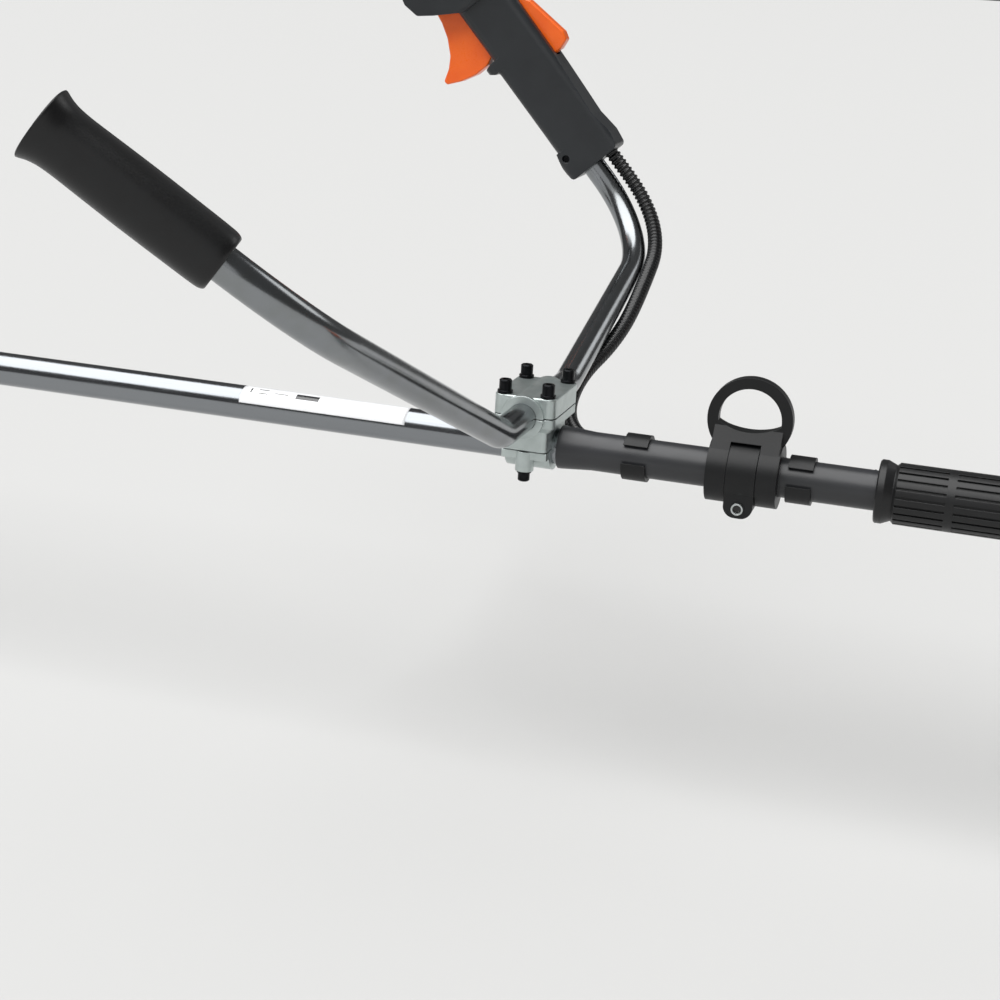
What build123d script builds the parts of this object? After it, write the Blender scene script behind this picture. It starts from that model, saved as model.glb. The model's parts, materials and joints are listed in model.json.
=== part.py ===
from build123d import *
import os
from math import atan2, cos, degrees, radians, sin, tan

# Petrol string trimmer with bicycle-style handlebars.
# Millimetres. +X runs along the drive tube towards the cutting head, +Y to the
# operator's left, +Z up. Everything is drawn from the point of the tube's axis
# that lies under the handlebar clamp, and is moved at the end so that the
# origin is the middle of the harness eye, where the machine is carried.

# --- driving dimensions ------------------------------------------------------
TUBE_OD = 25.4
TUBE_WALL = 1.5
TUBE_REAR = -412.0
GEAR_X = 985.0            # where the drive axis meets the cutting spindle
HEAD_TILT = 32.0          # spindle lean from square to the tube, degrees
SHAFT_OD = 8.0
RUN = 0.05                # radial clearance of a running fit
SLIDE = 0.3               # clearance between faces that slide past each other
BUSH_XS = (820.0, 480.0, 140.0, -200.0)
BUSH_LENGTH = 24.0

SLEEVE_WALL = 0.9
SLEEVE_FRONT = -20.5
SLEEVE_REAR = -240.0
SLEEVE_FLARE = 1.7
SLEEVE_FLARE_LENGTH = 24.0

CONDUIT_OD = 12.5
CLIP_XS = (-75.8, -189.2)
CLIP_LENGTH = 17.0
CLIP_WALL = 2.8

BAR_OD = 20.0
BAR_WALL = 1.5
BAR_RISE = 26.1           # bar axis above the tube axis
BAR_ELBOW = 82.3          # first bend's corner, out from the middle
BAR_ELBOW_RADIUS = 36.0
LEFT_BEND_RADIUS = 94.0
RIGHT_BEND_RADIUS = 82.0
LEFT_CORNER = (28.5, 345.7, 143.8)
LEFT_TIP = (147.6, 387.4, 235.3)
RIGHT_CORNER = (3.6, -343.4, 99.2)
RIGHT_ENTRY = (59.2, -341.3, 161.5)
BAR_IN_HANDLE = 105.0
GRIP_LENGTH = 108.4
GRIP_END_WALL = 4.0

CLAMP_HALF_X = 22.0
CLAMP_HALF_Y = 31.0
CLAMP_CAP_HEIGHT = 14.2
CLAMP_COLLAR_R = 15.2
CLAMP_COLLAR_OUT = 3.2
CLAMP_SPLIT = 0.9         # gap left between clamped halves
CAP_SCREW_X = 15.4
CAP_SCREW_Y = 25.6
LOWER_HALF_X = 16.2
LOWER_SCREW_Y = 19.6
LOWER_BOSS_R = 6.5
LOWER_DEPTH = 14.8
SCREW_SHANK_R = 2.5

EYE_X = -151.0
EYE_Z = 44.5
EYE_R = 29.0
EYE_HOLE_R = 21.5
EYE_DROP = 7.0           # the ring's own middle, below the middle of the opening
EYE_FLOOR_R = 44.0       # the curved floor of the opening
EYE_FLOOR = -15.2        # its lowest point, from the middle of the opening
EYE_THICK = 8.0
CARRIER_R = 22.0
CARRIER_LENGTH = 48.5
STRAP_WIDTH = 20.0
STRAP_WALL = 2.6
STRAP_LUG_DEPTH = 27.5    # below the tube's axis
STRAP_LUG_OUT = 19.6      # front face of the strap's lug
STRAP_LUG_JOINT = 11.8    # where the strap's lug meets the carrier's
LUG_GAP = 0.5
LUG_SCREW_Z = -20.5
WEB_HALF = 15.0           # half width of the web at the foot of the eye
WEB_TOP = 32.0

RIB_SLEEVE_REAR = -368.0
RIB_SLEEVE_R = TUBE_OD / 2 + 8.8
RIB_FLANGE = 8.0
RIB_COUNT = 22
RIB_DEPTH = 1.6
RIB_GAP = 1.7
RIB_BANDS = ((-253.0, -285.0), (-290.7, -357.0))

CUT_RADIUS = 188.0        # from the spindle to the tip of each line
LINE_OD = 2.4
HEAD_R = 56.0

# strap lug screw
LUG_SCREW_R = 2.0
LUG_HEAD_R = 4.1
LUG_HEAD_H = 2.6
LUG_SOCKET_R = 3.0

# control handle
BAR_TO_CONDUIT = (BAR_OD + CONDUIT_OD) / 2     # between their middles where they would touch
CONDUIT_BACK = BAR_TO_CONDUIT + 3.25           # conduit behind the bar, inside and below the handle
CONDUIT_IN_HANDLE = 42.0
CONDUIT_DROP = 84.0
SHELL_HALF_GRIP = 17.5
SHELL_HALF_HEAD = 23.0
SHELL_WALL = 3.2
TRIGGER_HALF = 7.0
TRIGGER_PIVOT = (20.0, 180.0)
LOCKOUT_HALF = 6.0
LOCKOUT_PIVOT = (-24.0, 150.0)
PIN_R = 2.0
GRIP_OUTLINE = (
    (-30, -4.5), (19, -4.5), (21.5, 8), (17, 22), (16, 40), (15.5, 106), (24, 112), (24.5, 116.5),
    (14, 118), (14, 176), (-31, 176), (-34, 150), (-33, 90), (-29.5, 30), (-32.5, 10),
)
HEAD_OUTLINE = (
    (-33, 163), (8, 166), (30, 180), (42, 189), (45, 203), (41, 219), (30, 227),
    (-20, 223), (-31, 213), (-34, 190),
)
TRIGGER_OUTLINE = (
    (6, 127), (22, 120.2), (36, 120.6), (50, 124.6), (61.5, 130.2), (62, 134), (52, 139.6),
    (44, 147.2), (36.5, 160.6), (32.5, 173.5), (31, 184), (26, 190), (15, 190), (9, 180), (5, 150),
)
LOCKOUT_OUTLINE = (
    (-18.5, 156), (-30, 156.5), (-37, 147), (-41.5, 139), (-49, 101), (-47, 94), (-38, 91),
    (-26, 92), (-22, 100), (-18.8, 140),
)
GRIP_FOOT_CORNER = 4.5    # corners of the side outline, below and above its waist
GRIP_CORNER = 1.6
GRIP_ROUND = 8.5          # rounding of the grip's long edges
HEAD_ROUND = 9.0
GRIP_BANDS = (            # from z, to z, front edge
    (-4.5, 22.0, 21.5), (21.9, 108.0, 17.0), (107.9, 118.0, 24.5), (117.9, 176.0, 14.0),
)
BESIDE_BAR = BAR_OD / 2 + 2.2                  # a screw that passes the bar
LEFT_SCREWS = ((BESIDE_BAR, 14.2),)            # x and z of each screw, by the side it enters
RIGHT_SCREWS = ((-21.0, 72.0), (BESIDE_BAR, 98.0), (-25.5, 206.0))
SHELL_SCREW_R = 1.4
SHELL_SCREW_HEAD_R = 2.9
SHELL_SCREW_SEAT = 12.6   # from the middle plane to under the head
SWITCH_Z = 192.0

# throttle conduit
CONDUIT_RUN_FRONT = -50.0
CONDUIT_RUN_REAR = -212.0
CONDUIT_TO_CLAMP = (      # under the bar, so these drop as either of them gets thicker
    (-16.2, -222.0, 76.85 - BAR_TO_CONDUIT), (-10.0, -177.0, 54.45 - BAR_TO_CONDUIT),
    (3.0, -132.0, 36.75 - BAR_TO_CONDUIT), (0.0, -84.0, 19.75 - BAR_TO_CONDUIT), (-22.0, -37.0, -3.0),
)
RIB_SIDE = -(RIB_SLEEVE_R + CONDUIT_OD / 2)    # the conduit's middle where it would touch the ribs
CONDUIT_TO_ENGINE = (
    (-240.0, RIB_SIDE - 1.55, 0.8), (-290.0, RIB_SIDE - 3.75, -1.0), (-335.0, RIB_SIDE - 2.25, 1.0),
    (-372.0, RIB_SIDE - 2.75, 7.0), (-404.0, -36.0, 21.0), (-428.0, -35.0, 47.0),
    (-450.0, -18.0, 65.0), (-477.0, -14.0, 66.5),
)

# gear head
HEAD = Pos(GEAR_X, 0, 0) * Rot(0, -HEAD_TILT, 0)
DRIVE = Rot(0, 90 + HEAD_TILT, 0)      # in the head frame, z runs forward along the drive tube
GEAR_CONE = 26.0
PINION_TEETH = 15
WHEEL_TEETH = 20
SHAFT_ANGLE = 90.0 - HEAD_TILT
SPINDLE_R = 5.0
BEARING_R = 11.0
BEARING_WIDTH = 8.0
HOUSING_R = 20.0
HOUSING_FOOT = -22.0
SOCKET_R = 17.5
DEFLECTOR_WALL = 3.0
DEFLECTOR_SWEEP = 150.0
DEFLECTOR_R = CUT_RADIUS + 8.0
DEFLECTOR_SCREW_R = 27.0
CLAMP_SCREWS_Z = (-79.0, -71.0)        # along the drive axis from the origin
CLAMP_SCREW_OUT = 20.5
GREASE_PLUG = (2.0, 6.0)               # x and z
SCREW_ANGLES = (120, 180, 240)         # deflector screws round the spindle
M5 = 2.5

# cutting head
HEAD_TOP = -29.0
SPOOL_TOP = -41.0
SPOOL_BOTTOM = -60.0
HEAD_LOW = -66.0
EYELET_Z = -49.0
KNOB_R = 21.0

# engine
CLUTCH_BEARING_R = 15.0
DRUM_HUB_R = 6.5
DRUM_R = 34.0
CLUTCH_FLANGE = -456.0
CRANK_R = 7.5
FAN_R = 50.0
FAN_REAR = -484.0
CASE_REAR = -542.0
CYLINDER_X = -516.0
FIN_HALF = 24.0
BEARING_XS = (-496.0, -536.0)
BORE_R = 17.0
FIN_COUNT = 9
STARTER_R = 52.0
STARTER_REAR = -586.0
CHOKE_PIN_R = 2.0
CHOKE_FRONT = CYLINDER_X + 33.0
CHOKE_AT = (62.0, 44.0)   # y and z of the choke lever's pivot
STARTER_X = -564.0
ROPE_R = 1.75
TANK = (-472.0, -590.0, 46.0, -104.0, -60.0)   # front, rear, half width, bottom, top
CAP_X = -492.0
CAP_Z = -80.0

# worked out from the sizes above
ORIGIN = Pos(-EYE_X, 0, -EYE_Z)
SLEEVE_OD = TUBE_OD + 2 * SLEEVE_WALL
CABLE_Y = -(SLEEVE_OD / 2 + 0.6 + CONDUIT_OD / 2)
TUBE_FRONT = GEAR_X - 38.0


# --- drawing helpers ---------------------------------------------------------
def rod(r, x0, x1, y=0.0, z=0.0):
    """A cylinder along X."""
    return Pos((x0 + x1) / 2, y, z) * Rot(0, 90, 0) * Cylinder(r, abs(x1 - x0))


def rod_y(r, y0, y1, x=0.0, z=0.0):
    """A cylinder along Y."""
    return Pos(x, (y0 + y1) / 2, z) * Rot(90, 0, 0) * Cylinder(r, abs(y1 - y0))


def rod_z(r, z0, z1, x=0.0, y=0.0):
    """A cylinder along Z."""
    return Pos(x, y, (z0 + z1) / 2) * Cylinder(r, abs(z1 - z0))


def block(x0, x1, y0, y1, z0, z1):
    """A box between two corners."""
    middle = Pos((x0 + x1) / 2, (y0 + y1) / 2, (z0 + z1) / 2)
    return middle * Box(abs(x1 - x0), abs(y1 - y0), abs(z1 - z0))


def turned_x(points):
    """A body turned about X from its (x, radius) outline."""
    return revolve(make_face(Polyline(*points, close=True)), Axis.X)


def turned_z(points):
    """A body turned about Z from its (radius, z) outline."""
    outline = Plane.XZ * make_face(Polyline(*points, close=True))
    return revolve(outline, Axis.Z)


def plate_xz(points, y0, y1, corner=0.0):
    """A plate with an (x, z) outline, from y0 to y1, its corners rounded."""
    face = make_face(Polyline(*points, close=True))
    if corner:
        face = fillet(face.vertices(), corner)
    return Pos(0, y1, 0) * extrude(Plane.XZ * face, y1 - y0)


def save(name, *solids):
    """Write one sub-part, moved to the row's origin."""
    loose = []
    for solid in solids:
        loose += solid.solids()
    moved = [ORIGIN * solid for solid in loose]
    export_step(Compound(children=moved) if len(moved) > 1 else moved[0], f"parts/{name}.step")
    print(name, len(moved), round(sum(s.volume for s in moved)))


def cap_screw(length, shank_r, head_r, head_h, socket_r):
    """A socket-head screw, its seat at z = 0 and its shank down."""
    flange_h = head_h * 0.2
    screw = rod_z(shank_r, -length, 0.1)
    screw += rod_z(head_r * 1.22, 0, flange_h)
    head = rod_z(head_r, flange_h / 2, head_h)
    screw += chamfer(head.edges().group_by(Axis.Z)[-1], head_r * 0.16)
    socket = Pos(0, 0, head_h * 0.45) * extrude(RegularPolygon(socket_r, 6), head_h)
    return screw - socket


# --- drive tube, sleeve, clips -------------------------------------------------
def drive_tube():
    bore = TUBE_OD / 2 - TUBE_WALL
    return rod(TUBE_OD / 2, TUBE_REAR, TUBE_FRONT) - rod(bore, TUBE_REAR - 1, TUBE_FRONT + 1)


def shaft_bushes():
    outer = TUBE_OD / 2 - TUBE_WALL
    inner = SHAFT_OD / 2 + RUN
    half = BUSH_LENGTH / 2
    return [rod(outer, x - half, x + half) - rod(inner, x - half - 1, x + half + 1) for x in BUSH_XS]


def tube_sleeve():
    r = SLEEVE_OD / 2
    bore = TUBE_OD / 2
    flare = r + SLEEVE_FLARE
    outline = [
        (SLEEVE_REAR, bore), (SLEEVE_REAR, r), (SLEEVE_FRONT - SLEEVE_FLARE_LENGTH, r),
        (SLEEVE_FRONT - 2, flare), (SLEEVE_FRONT, flare), (SLEEVE_FRONT, bore),
    ]
    return turned_x(outline)


def cable_clips():
    clips = []
    half = CLIP_LENGTH / 2
    hug = SLEEVE_OD / 2
    hold = CONDUIT_OD / 2
    for x in CLIP_XS:
        clip = rod(hug + CLIP_WALL, x - half, x + half)
        clip += rod(hold + 2.0, x - half, x + half, CABLE_Y)
        mouth = Pos(x, 0, 0) * Rot(19, 0, 0) * block(-half - 1, half + 1, 4, 30, -6.4, 6.4)
        slit = block(x - half - 1, x + half + 1, CABLE_Y - 20, CABLE_Y, -3.6, 3.6)
        clip -= rod(hug, x - half - 1, x + half + 1) + rod(hold, x - half - 1, x + half + 1, CABLE_Y)
        clips.append(clip - mouth - slit)
    return clips


def ribbed_sleeve():
    bore = TUBE_OD / 2
    body_r = RIB_SLEEVE_R - 0.7
    front = SLEEVE_REAR
    neck = front - RIB_FLANGE
    outline = [
        (front, bore), (front, RIB_SLEEVE_R - 1), (front - 1, RIB_SLEEVE_R), (neck + 3, RIB_SLEEVE_R),
        (neck - 3, body_r - 2), (neck - 5, body_r), (RIB_SLEEVE_REAR + 3, body_r),
        (RIB_SLEEVE_REAR, body_r - 3), (RIB_SLEEVE_REAR, bore),
    ]
    sleeve = turned_x(outline)
    for x0, x1 in RIB_BANDS:
        for i in range(RIB_COUNT):
            groove = block(x1, x0, -RIB_GAP / 2, RIB_GAP / 2, body_r - RIB_DEPTH, body_r + 3)
            sleeve -= Rot(i * 360 / RIB_COUNT, 0, 0) * groove
    return sleeve


# --- harness carrier -----------------------------------------------------------
def harness_carrier():
    x0 = EYE_X - CARRIER_LENGTH / 2
    x1 = EYE_X + CARRIER_LENGTH / 2
    bore = SLEEVE_OD / 2 + 0.08
    tunnel = CONDUIT_OD / 2 + 0.5
    body = rod(CARRIER_R, x0, x1) + rod(tunnel + 1.8, x0, x1, CABLE_Y)
    eye = rod_y(EYE_R, -EYE_THICK / 2, EYE_THICK / 2, EYE_X, EYE_Z - EYE_DROP)
    neck = block(x0 + 1, x1 - 1, -EYE_THICK / 2, EYE_THICK / 2, 8, EYE_Z - 8)
    body += eye + neck
    half = EYE_THICK / 2
    web = make_face(Polyline((-WEB_HALF, 15), (WEB_HALF, 15), (half, WEB_TOP), (-half, WEB_TOP), close=True))
    body += Pos(x0 + 1, 0, 0) * extrude(Plane.YZ * web, x1 - x0 - 2)
    joint = STRAP_LUG_JOINT - LUG_GAP
    body += lug(2, joint)
    hole = rod_y(EYE_HOLE_R, -EYE_THICK, EYE_THICK, EYE_X, EYE_Z - EYE_DROP)
    dip = rod_y(EYE_FLOOR_R, -EYE_THICK * 2, EYE_THICK * 2, EYE_X, EYE_Z + EYE_FLOOR + EYE_FLOOR_R)
    body -= hole & dip
    groove_r = CARRIER_R - STRAP_WALL
    slot_half = STRAP_WIDTH / 2 + SLIDE
    slot = block(EYE_X - slot_half, EYE_X + slot_half, 4, 40, -40, CARRIER_R + 0.6)
    body -= slot - rod(groove_r, x0, x1) - block(x0, x1, 0, joint, -40, -groove_r + 4)
    body -= rod(bore, x0 - 1, x1 + 1) + rod(tunnel, x0 - 1, x1 + 1, CABLE_Y)
    return body - rod_y(LUG_SCREW_R, 0, 30, EYE_X, LUG_SCREW_Z)


def lug(y0, y1):
    """A tongue below the carrier, as wide as the strap and round at its foot."""
    half = STRAP_WIDTH / 2
    tongue = block(EYE_X - half, EYE_X + half, y0, y1, -STRAP_LUG_DEPTH, -10)
    return fillet(tongue.edges().filter_by(Axis.Y).group_by(Axis.Z)[0], half * 0.8)


def harness_strap():
    x0 = EYE_X - STRAP_WIDTH / 2
    x1 = EYE_X + STRAP_WIDTH / 2
    inner = CARRIER_R - STRAP_WALL + 0.02
    outer = CARRIER_R + 0.4
    band = rod(outer, x0, x1) - rod(inner, x0 - 1, x1 + 1)
    strap = band & block(x0 - 1, x1 + 1, 4.3, 40, -14, 40)
    foot = lug(STRAP_LUG_JOINT, STRAP_LUG_OUT) - rod(inner, x0 - 1, x1 + 1)
    return strap + foot - rod_y(LUG_SCREW_R, 0, 30, EYE_X, LUG_SCREW_Z)


def harness_screw():
    """A button screw with a wide socket, which shows as a bright ring."""
    front = STRAP_LUG_OUT
    screw = rod_y(LUG_SCREW_R, 2, front + 0.1, EYE_X, LUG_SCREW_Z)
    screw += rod_y(LUG_HEAD_R, front, front + LUG_HEAD_H, EYE_X, LUG_SCREW_Z)
    return screw - rod_y(LUG_SOCKET_R, front + 0.5, front + 10, EYE_X, LUG_SCREW_Z)


# --- handlebar and its clamp ---------------------------------------------------
def bar_line():
    """The handlebar's middle line: left tip to the end inside the control handle."""
    along = (Vector(*RIGHT_ENTRY) - Vector(*RIGHT_CORNER)).normalized()
    left_out = (Vector(*LEFT_TIP) - Vector(*LEFT_CORNER)).normalized()
    left_end = Vector(*LEFT_TIP) - left_out * (GRIP_END_WALL + 0.5)
    right_end = Vector(*RIGHT_ENTRY) + along * BAR_IN_HANDLE
    points = [
        left_end, Vector(*LEFT_CORNER), Vector(0, BAR_ELBOW, BAR_RISE),
        Vector(0, -BAR_ELBOW, BAR_RISE), Vector(*RIGHT_CORNER), right_end,
    ]
    radii = [LEFT_BEND_RADIUS, BAR_ELBOW_RADIUS, BAR_ELBOW_RADIUS, RIGHT_BEND_RADIUS]
    return FilletPolyline(*points, radius=radii)


def handlebar_tube():
    line = bar_line()
    ring = Circle(BAR_OD / 2) - Circle(BAR_OD / 2 - BAR_WALL)
    return sweep(Plane(origin=line @ 0, z_dir=line % 0) * ring, path=line)


def grip_frame():
    """Frame of the left grip: z runs out along the bar to the grip's closed end."""
    out = (Vector(*LEFT_TIP) - Vector(*LEFT_CORNER)).normalized()
    return Plane(origin=Vector(*LEFT_TIP), x_dir=(0, 1, 0), z_dir=out).location


def left_grip():
    bore = BAR_OD / 2
    profile = [
        (0, 0), (20.2, 0), (20.9, -1.5), (20.6, -4), (18.7, -10), (17.6, -20), (17.5, -50),
        (17.6, -84), (17.0, -GRIP_LENGTH + 4), (15.4, -GRIP_LENGTH), (bore, -GRIP_LENGTH),
        (bore, -GRIP_END_WALL), (0, -GRIP_END_WALL),
    ]
    return grip_frame() * turned_z(profile)


def clamp_cap():
    low = BAR_RISE + CLAMP_SPLIT / 2
    top = BAR_RISE + CLAMP_CAP_HEIGHT
    cap = block(-CLAMP_HALF_X, CLAMP_HALF_X, -CLAMP_HALF_Y, CLAMP_HALF_Y, low, top)
    cap = fillet(cap.edges().filter_by(Axis.Z), 6)
    cap = fillet(cap.edges().group_by(Axis.Z)[-1], 1.2)
    reach = CLAMP_HALF_Y + CLAMP_COLLAR_OUT
    collar = rod_y(CLAMP_COLLAR_R, -reach, reach, 0, BAR_RISE) & block(-30, 30, -60, 60, low, 90)
    cap += collar
    cap -= rod_y(BAR_OD / 2 + RUN, -60, 60, 0, BAR_RISE)
    for x in (-CAP_SCREW_X, CAP_SCREW_X):
        for y in (-CAP_SCREW_Y, CAP_SCREW_Y):
            cap -= rod_z(SCREW_SHANK_R, 0, 60, x, y)
    return cap


def clamp_block():
    high = BAR_RISE - CLAMP_SPLIT / 2
    shoulder = 15.5
    wide = block(-CLAMP_HALF_X, CLAMP_HALF_X, -CLAMP_HALF_Y, CLAMP_HALF_Y, shoulder, high)
    wide = fillet(wide.edges().filter_by(Axis.Z), 6)
    wide = chamfer(wide.edges().group_by(Axis.Z)[0], 4)
    narrow_y = LOWER_SCREW_Y + LOWER_BOSS_R - 1
    waist = block(-LOWER_HALF_X, LOWER_HALF_X, -narrow_y, narrow_y, CLAMP_SPLIT / 2, shoulder + 2)
    waist = fillet(waist.edges().filter_by(Axis.Z), 4)
    reach = CLAMP_HALF_Y + CLAMP_COLLAR_OUT
    collar = rod_y(CLAMP_COLLAR_R, -reach, reach, 0, BAR_RISE) & block(-30, 30, -60, 60, 8, high)
    body = wide + waist + collar
    body -= rod_y(BAR_OD / 2 + RUN, -60, 60, 0, BAR_RISE)
    body -= rod(TUBE_OD / 2, -60, 60)
    for x in (-CAP_SCREW_X, CAP_SCREW_X):
        for y in (-CAP_SCREW_Y, CAP_SCREW_Y):
            body -= rod_z(SCREW_SHANK_R, 17.5, 60, x, y)
    for y in (-LOWER_SCREW_Y, LOWER_SCREW_Y):
        body -= rod_z(SCREW_SHANK_R, -1, 12, 0, y)
    return body


def clamp_lower():
    high = -CLAMP_SPLIT / 2
    shell = rod(TUBE_OD / 2 + 4.2, -LOWER_HALF_X, LOWER_HALF_X)
    shell += block(-LOWER_HALF_X, LOWER_HALF_X, -LOWER_SCREW_Y - 4, LOWER_SCREW_Y + 4, -6, high)
    for y in (-LOWER_SCREW_Y, LOWER_SCREW_Y):
        shell += rod_z(LOWER_BOSS_R, -LOWER_DEPTH, high, 0, y)
    shell &= block(-60, 60, -60, 60, -60, high)
    shell -= rod(TUBE_OD / 2, -60, 60)
    for y in (-LOWER_SCREW_Y, LOWER_SCREW_Y):
        shell -= rod_z(SCREW_SHANK_R, -60, 1, 0, y)
    return shell


def cap_screws():
    top = BAR_RISE + CLAMP_CAP_HEIGHT
    screw = cap_screw(top - 18, SCREW_SHANK_R, 4.4, 9.6, 2.4)
    return [
        Pos(x, y, top) * screw
        for x in (-CAP_SCREW_X, CAP_SCREW_X) for y in (-CAP_SCREW_Y, CAP_SCREW_Y)
    ]


def lower_screws():
    screw = cap_screw(LOWER_DEPTH + 11, SCREW_SHANK_R, 4.2, 7.6, 2.4)
    return [Pos(0, y, -LOWER_DEPTH) * Rot(180, 0, 0) * screw for y in (-LOWER_SCREW_Y, LOWER_SCREW_Y)]


# --- control handle ------------------------------------------------------------
# Drawn in its own frame: z runs out along the bar, x points forward and down to
# the trigger, y to the left. Its origin is where the bar enters the handle.


def handle_frame():
    out = (Vector(*RIGHT_ENTRY) - Vector(*RIGHT_CORNER)).normalized()
    forward = Vector(0, 1, 0).cross(out).normalized()
    return Plane(origin=Vector(*RIGHT_ENTRY), x_dir=forward, z_dir=out).location


def shell_solid():
    """The side outline, rounded along the bar in bands that each follow its front edge."""
    half = SHELL_HALF_GRIP
    face = make_face(Polyline(*GRIP_OUTLINE, close=True))
    face = fillet(face.vertices().filter_by_position(Axis.Y, -20, 35), GRIP_FOOT_CORNER)
    face = fillet(face.vertices().filter_by_position(Axis.Y, 36, 200), GRIP_CORNER)
    outline = Pos(0, half, 0) * extrude(Plane.XZ * face, 2 * half)
    rear = min(x for x, z in GRIP_OUTLINE)
    bands = []
    for z0, z1, front in GRIP_BANDS:
        band = block(rear, front, -half, half, z0, z1)
        bands.append(fillet(band.edges().filter_by(Axis.Z), GRIP_ROUND) & outline)
    solid = bands[0]
    for band in bands[1:]:
        solid += band
    half = SHELL_HALF_HEAD
    head = plate_xz(HEAD_OUTLINE, -half, half, 4)
    low = min(z for x, z in HEAD_OUTLINE)
    high = max(z for x, z in HEAD_OUTLINE)
    tube = block(-60, 60, -half, half, low, high)
    tube = fillet(tube.edges().filter_by(Axis.X), HEAD_ROUND)
    return solid + (head & tube)


def shell_cavity():
    bar = rod_z(BAR_OD / 2, -20, BAR_IN_HANDLE + 0.5)
    conduit = rod_z(CONDUIT_OD / 2, -20, CONDUIT_IN_HANDLE + 0.5, -CONDUIT_BACK)
    grip_room = block(-24, 12, -SHELL_HALF_GRIP + SHELL_WALL, SHELL_HALF_GRIP - SHELL_WALL, 112, 178)
    head_half = SHELL_HALF_HEAD - SHELL_WALL - 1
    head_room = block(-16, 37, -head_half, head_half, 176, 212)
    room = grip_room + head_room
    for x, z in (TRIGGER_PIVOT, LOCKOUT_PIVOT):
        room -= rod_y(PIN_R + 2.6, TRIGGER_HALF + SLIDE, 30, x, z)
        room -= rod_y(PIN_R + 2.6, -30, -TRIGGER_HALF - SLIDE, x, z)
    trigger_half = TRIGGER_HALF + SLIDE
    trigger_slot = block(4, 70, -trigger_half, trigger_half, 117.4, 184)
    trigger_slot += block(4, 36, -trigger_half, trigger_half, 184, 194)
    lock_half = LOCKOUT_HALF + SLIDE
    lock_slot = block(-60, -13, -lock_half, lock_half, 89.5, 158)
    return bar + conduit + room + trigger_slot + lock_slot


def control_shells():
    """Right and left halves of the handle, split on its middle plane."""
    solid = shell_solid() - shell_cavity()
    for x, z in (TRIGGER_PIVOT, LOCKOUT_PIVOT):
        solid -= rod_y(PIN_R, -15, 15, x, z)
    for side, places in ((1, LEFT_SCREWS), (-1, RIGHT_SCREWS)):
        for x, z in places:
            solid -= rod_y(SHELL_SCREW_R, -SHELL_SCREW_SEAT, SHELL_SCREW_SEAT, x, z)
            solid -= rod_y(SHELL_SCREW_HEAD_R + 0.4, side * SHELL_SCREW_SEAT, side * 40, x, z)
    knob_slot = block(-8, 8, 12, 40, SWITCH_Z - 3.3, SWITCH_Z + 9.5)
    solid -= knob_slot
    right = solid & block(-80, 80, -40, 0, -20, 240)
    left = solid & block(-80, 80, 0, 40, -20, 240)
    return right, left


def stop_switch():
    knob = block(-7.6, 7.6, 19.6, 25.4, SWITCH_Z - 3, SWITCH_Z + 3)
    knob = fillet(knob.edges().group_by(Axis.Y)[-1], 1.2)
    for z in (-1.6, 0, 1.6):
        knob -= block(-6, 6, 24.9, 26, SWITCH_Z + z - 0.3, SWITCH_Z + z + 0.3)
    knob += block(-6, 6, 12.5, 19.7, SWITCH_Z - 2, SWITCH_Z + 2)
    return knob


def throttle_trigger():
    blade = plate_xz(TRIGGER_OUTLINE, -TRIGGER_HALF, TRIGGER_HALF, 2.0)
    blade = chamfer(blade.edges().filter_by(Plane.XZ), 0.8)
    return blade - rod_y(PIN_R + RUN, -20, 20, *TRIGGER_PIVOT)


def throttle_lockout():
    lever = plate_xz(LOCKOUT_OUTLINE, -LOCKOUT_HALF, LOCKOUT_HALF, 3.0)
    lever = chamfer(lever.edges().filter_by(Plane.XZ), 1.0)
    return lever - rod_y(PIN_R + RUN, -20, 20, *LOCKOUT_PIVOT)


def control_pins():
    return [rod_y(PIN_R, -14.2, 14.2, x, z) for x, z in (TRIGGER_PIVOT, LOCKOUT_PIVOT)]


def control_screws():
    seat = SHELL_SCREW_SEAT
    screw = rod_y(SHELL_SCREW_R, 1.1 - seat, seat + 0.1)
    screw += rod_y(SHELL_SCREW_HEAD_R, seat, seat + 2.2)
    for half_x, half_z in ((2, 0.4), (0.4, 2)):
        screw -= block(-half_x, half_x, seat + 1.4, seat + 4, -half_z, half_z)
    left = [Pos(x, 0, z) * screw for x, z in LEFT_SCREWS]
    return left + [Pos(x, 0, z) * Rot(0, 0, 180) * screw for x, z in RIGHT_SCREWS]


# --- throttle conduit ------------------------------------------------------------
def conduit_line():
    """Down out of the handle, along the back of the bar, under it by the clamp and
    back along the far side of the tube to the engine cover."""
    frame = handle_frame()
    top = (frame * Pos(-CONDUIT_BACK, 0, CONDUIT_IN_HANDLE)).position
    bend = (frame * Pos(-CONDUIT_BACK, 0, -CONDUIT_DROP)).position
    points = [top, bend, *[Vector(*p) for p in CONDUIT_TO_CLAMP]]
    points += [Vector(x, CABLE_Y, 0) for x in (CONDUIT_RUN_FRONT, CONDUIT_RUN_REAR)]
    points += [Vector(*p) for p in CONDUIT_TO_ENGINE]
    radii = []
    for before, here, after in zip(points, points[1:], points[2:]):
        turn = radians((here - before).get_angle(after - here))
        shorter = min((here - before).length, (after - here).length)
        radii.append(0.45 * shorter / tan(turn / 2))
    return FilletPolyline(*points, radius=radii)


def cable_conduit():
    line = conduit_line()
    print("conduit length", round(line.length))
    ring = Circle(CONDUIT_OD / 2)
    return sweep(Plane(origin=line @ 0, z_dir=line % 0) * ring, path=line)


# --- gear head -------------------------------------------------------------------
# The cutting end is drawn upright round its spindle, z up and x forward, with
# its origin where the spindle meets the drive axis, and is then leaned back.


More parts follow.
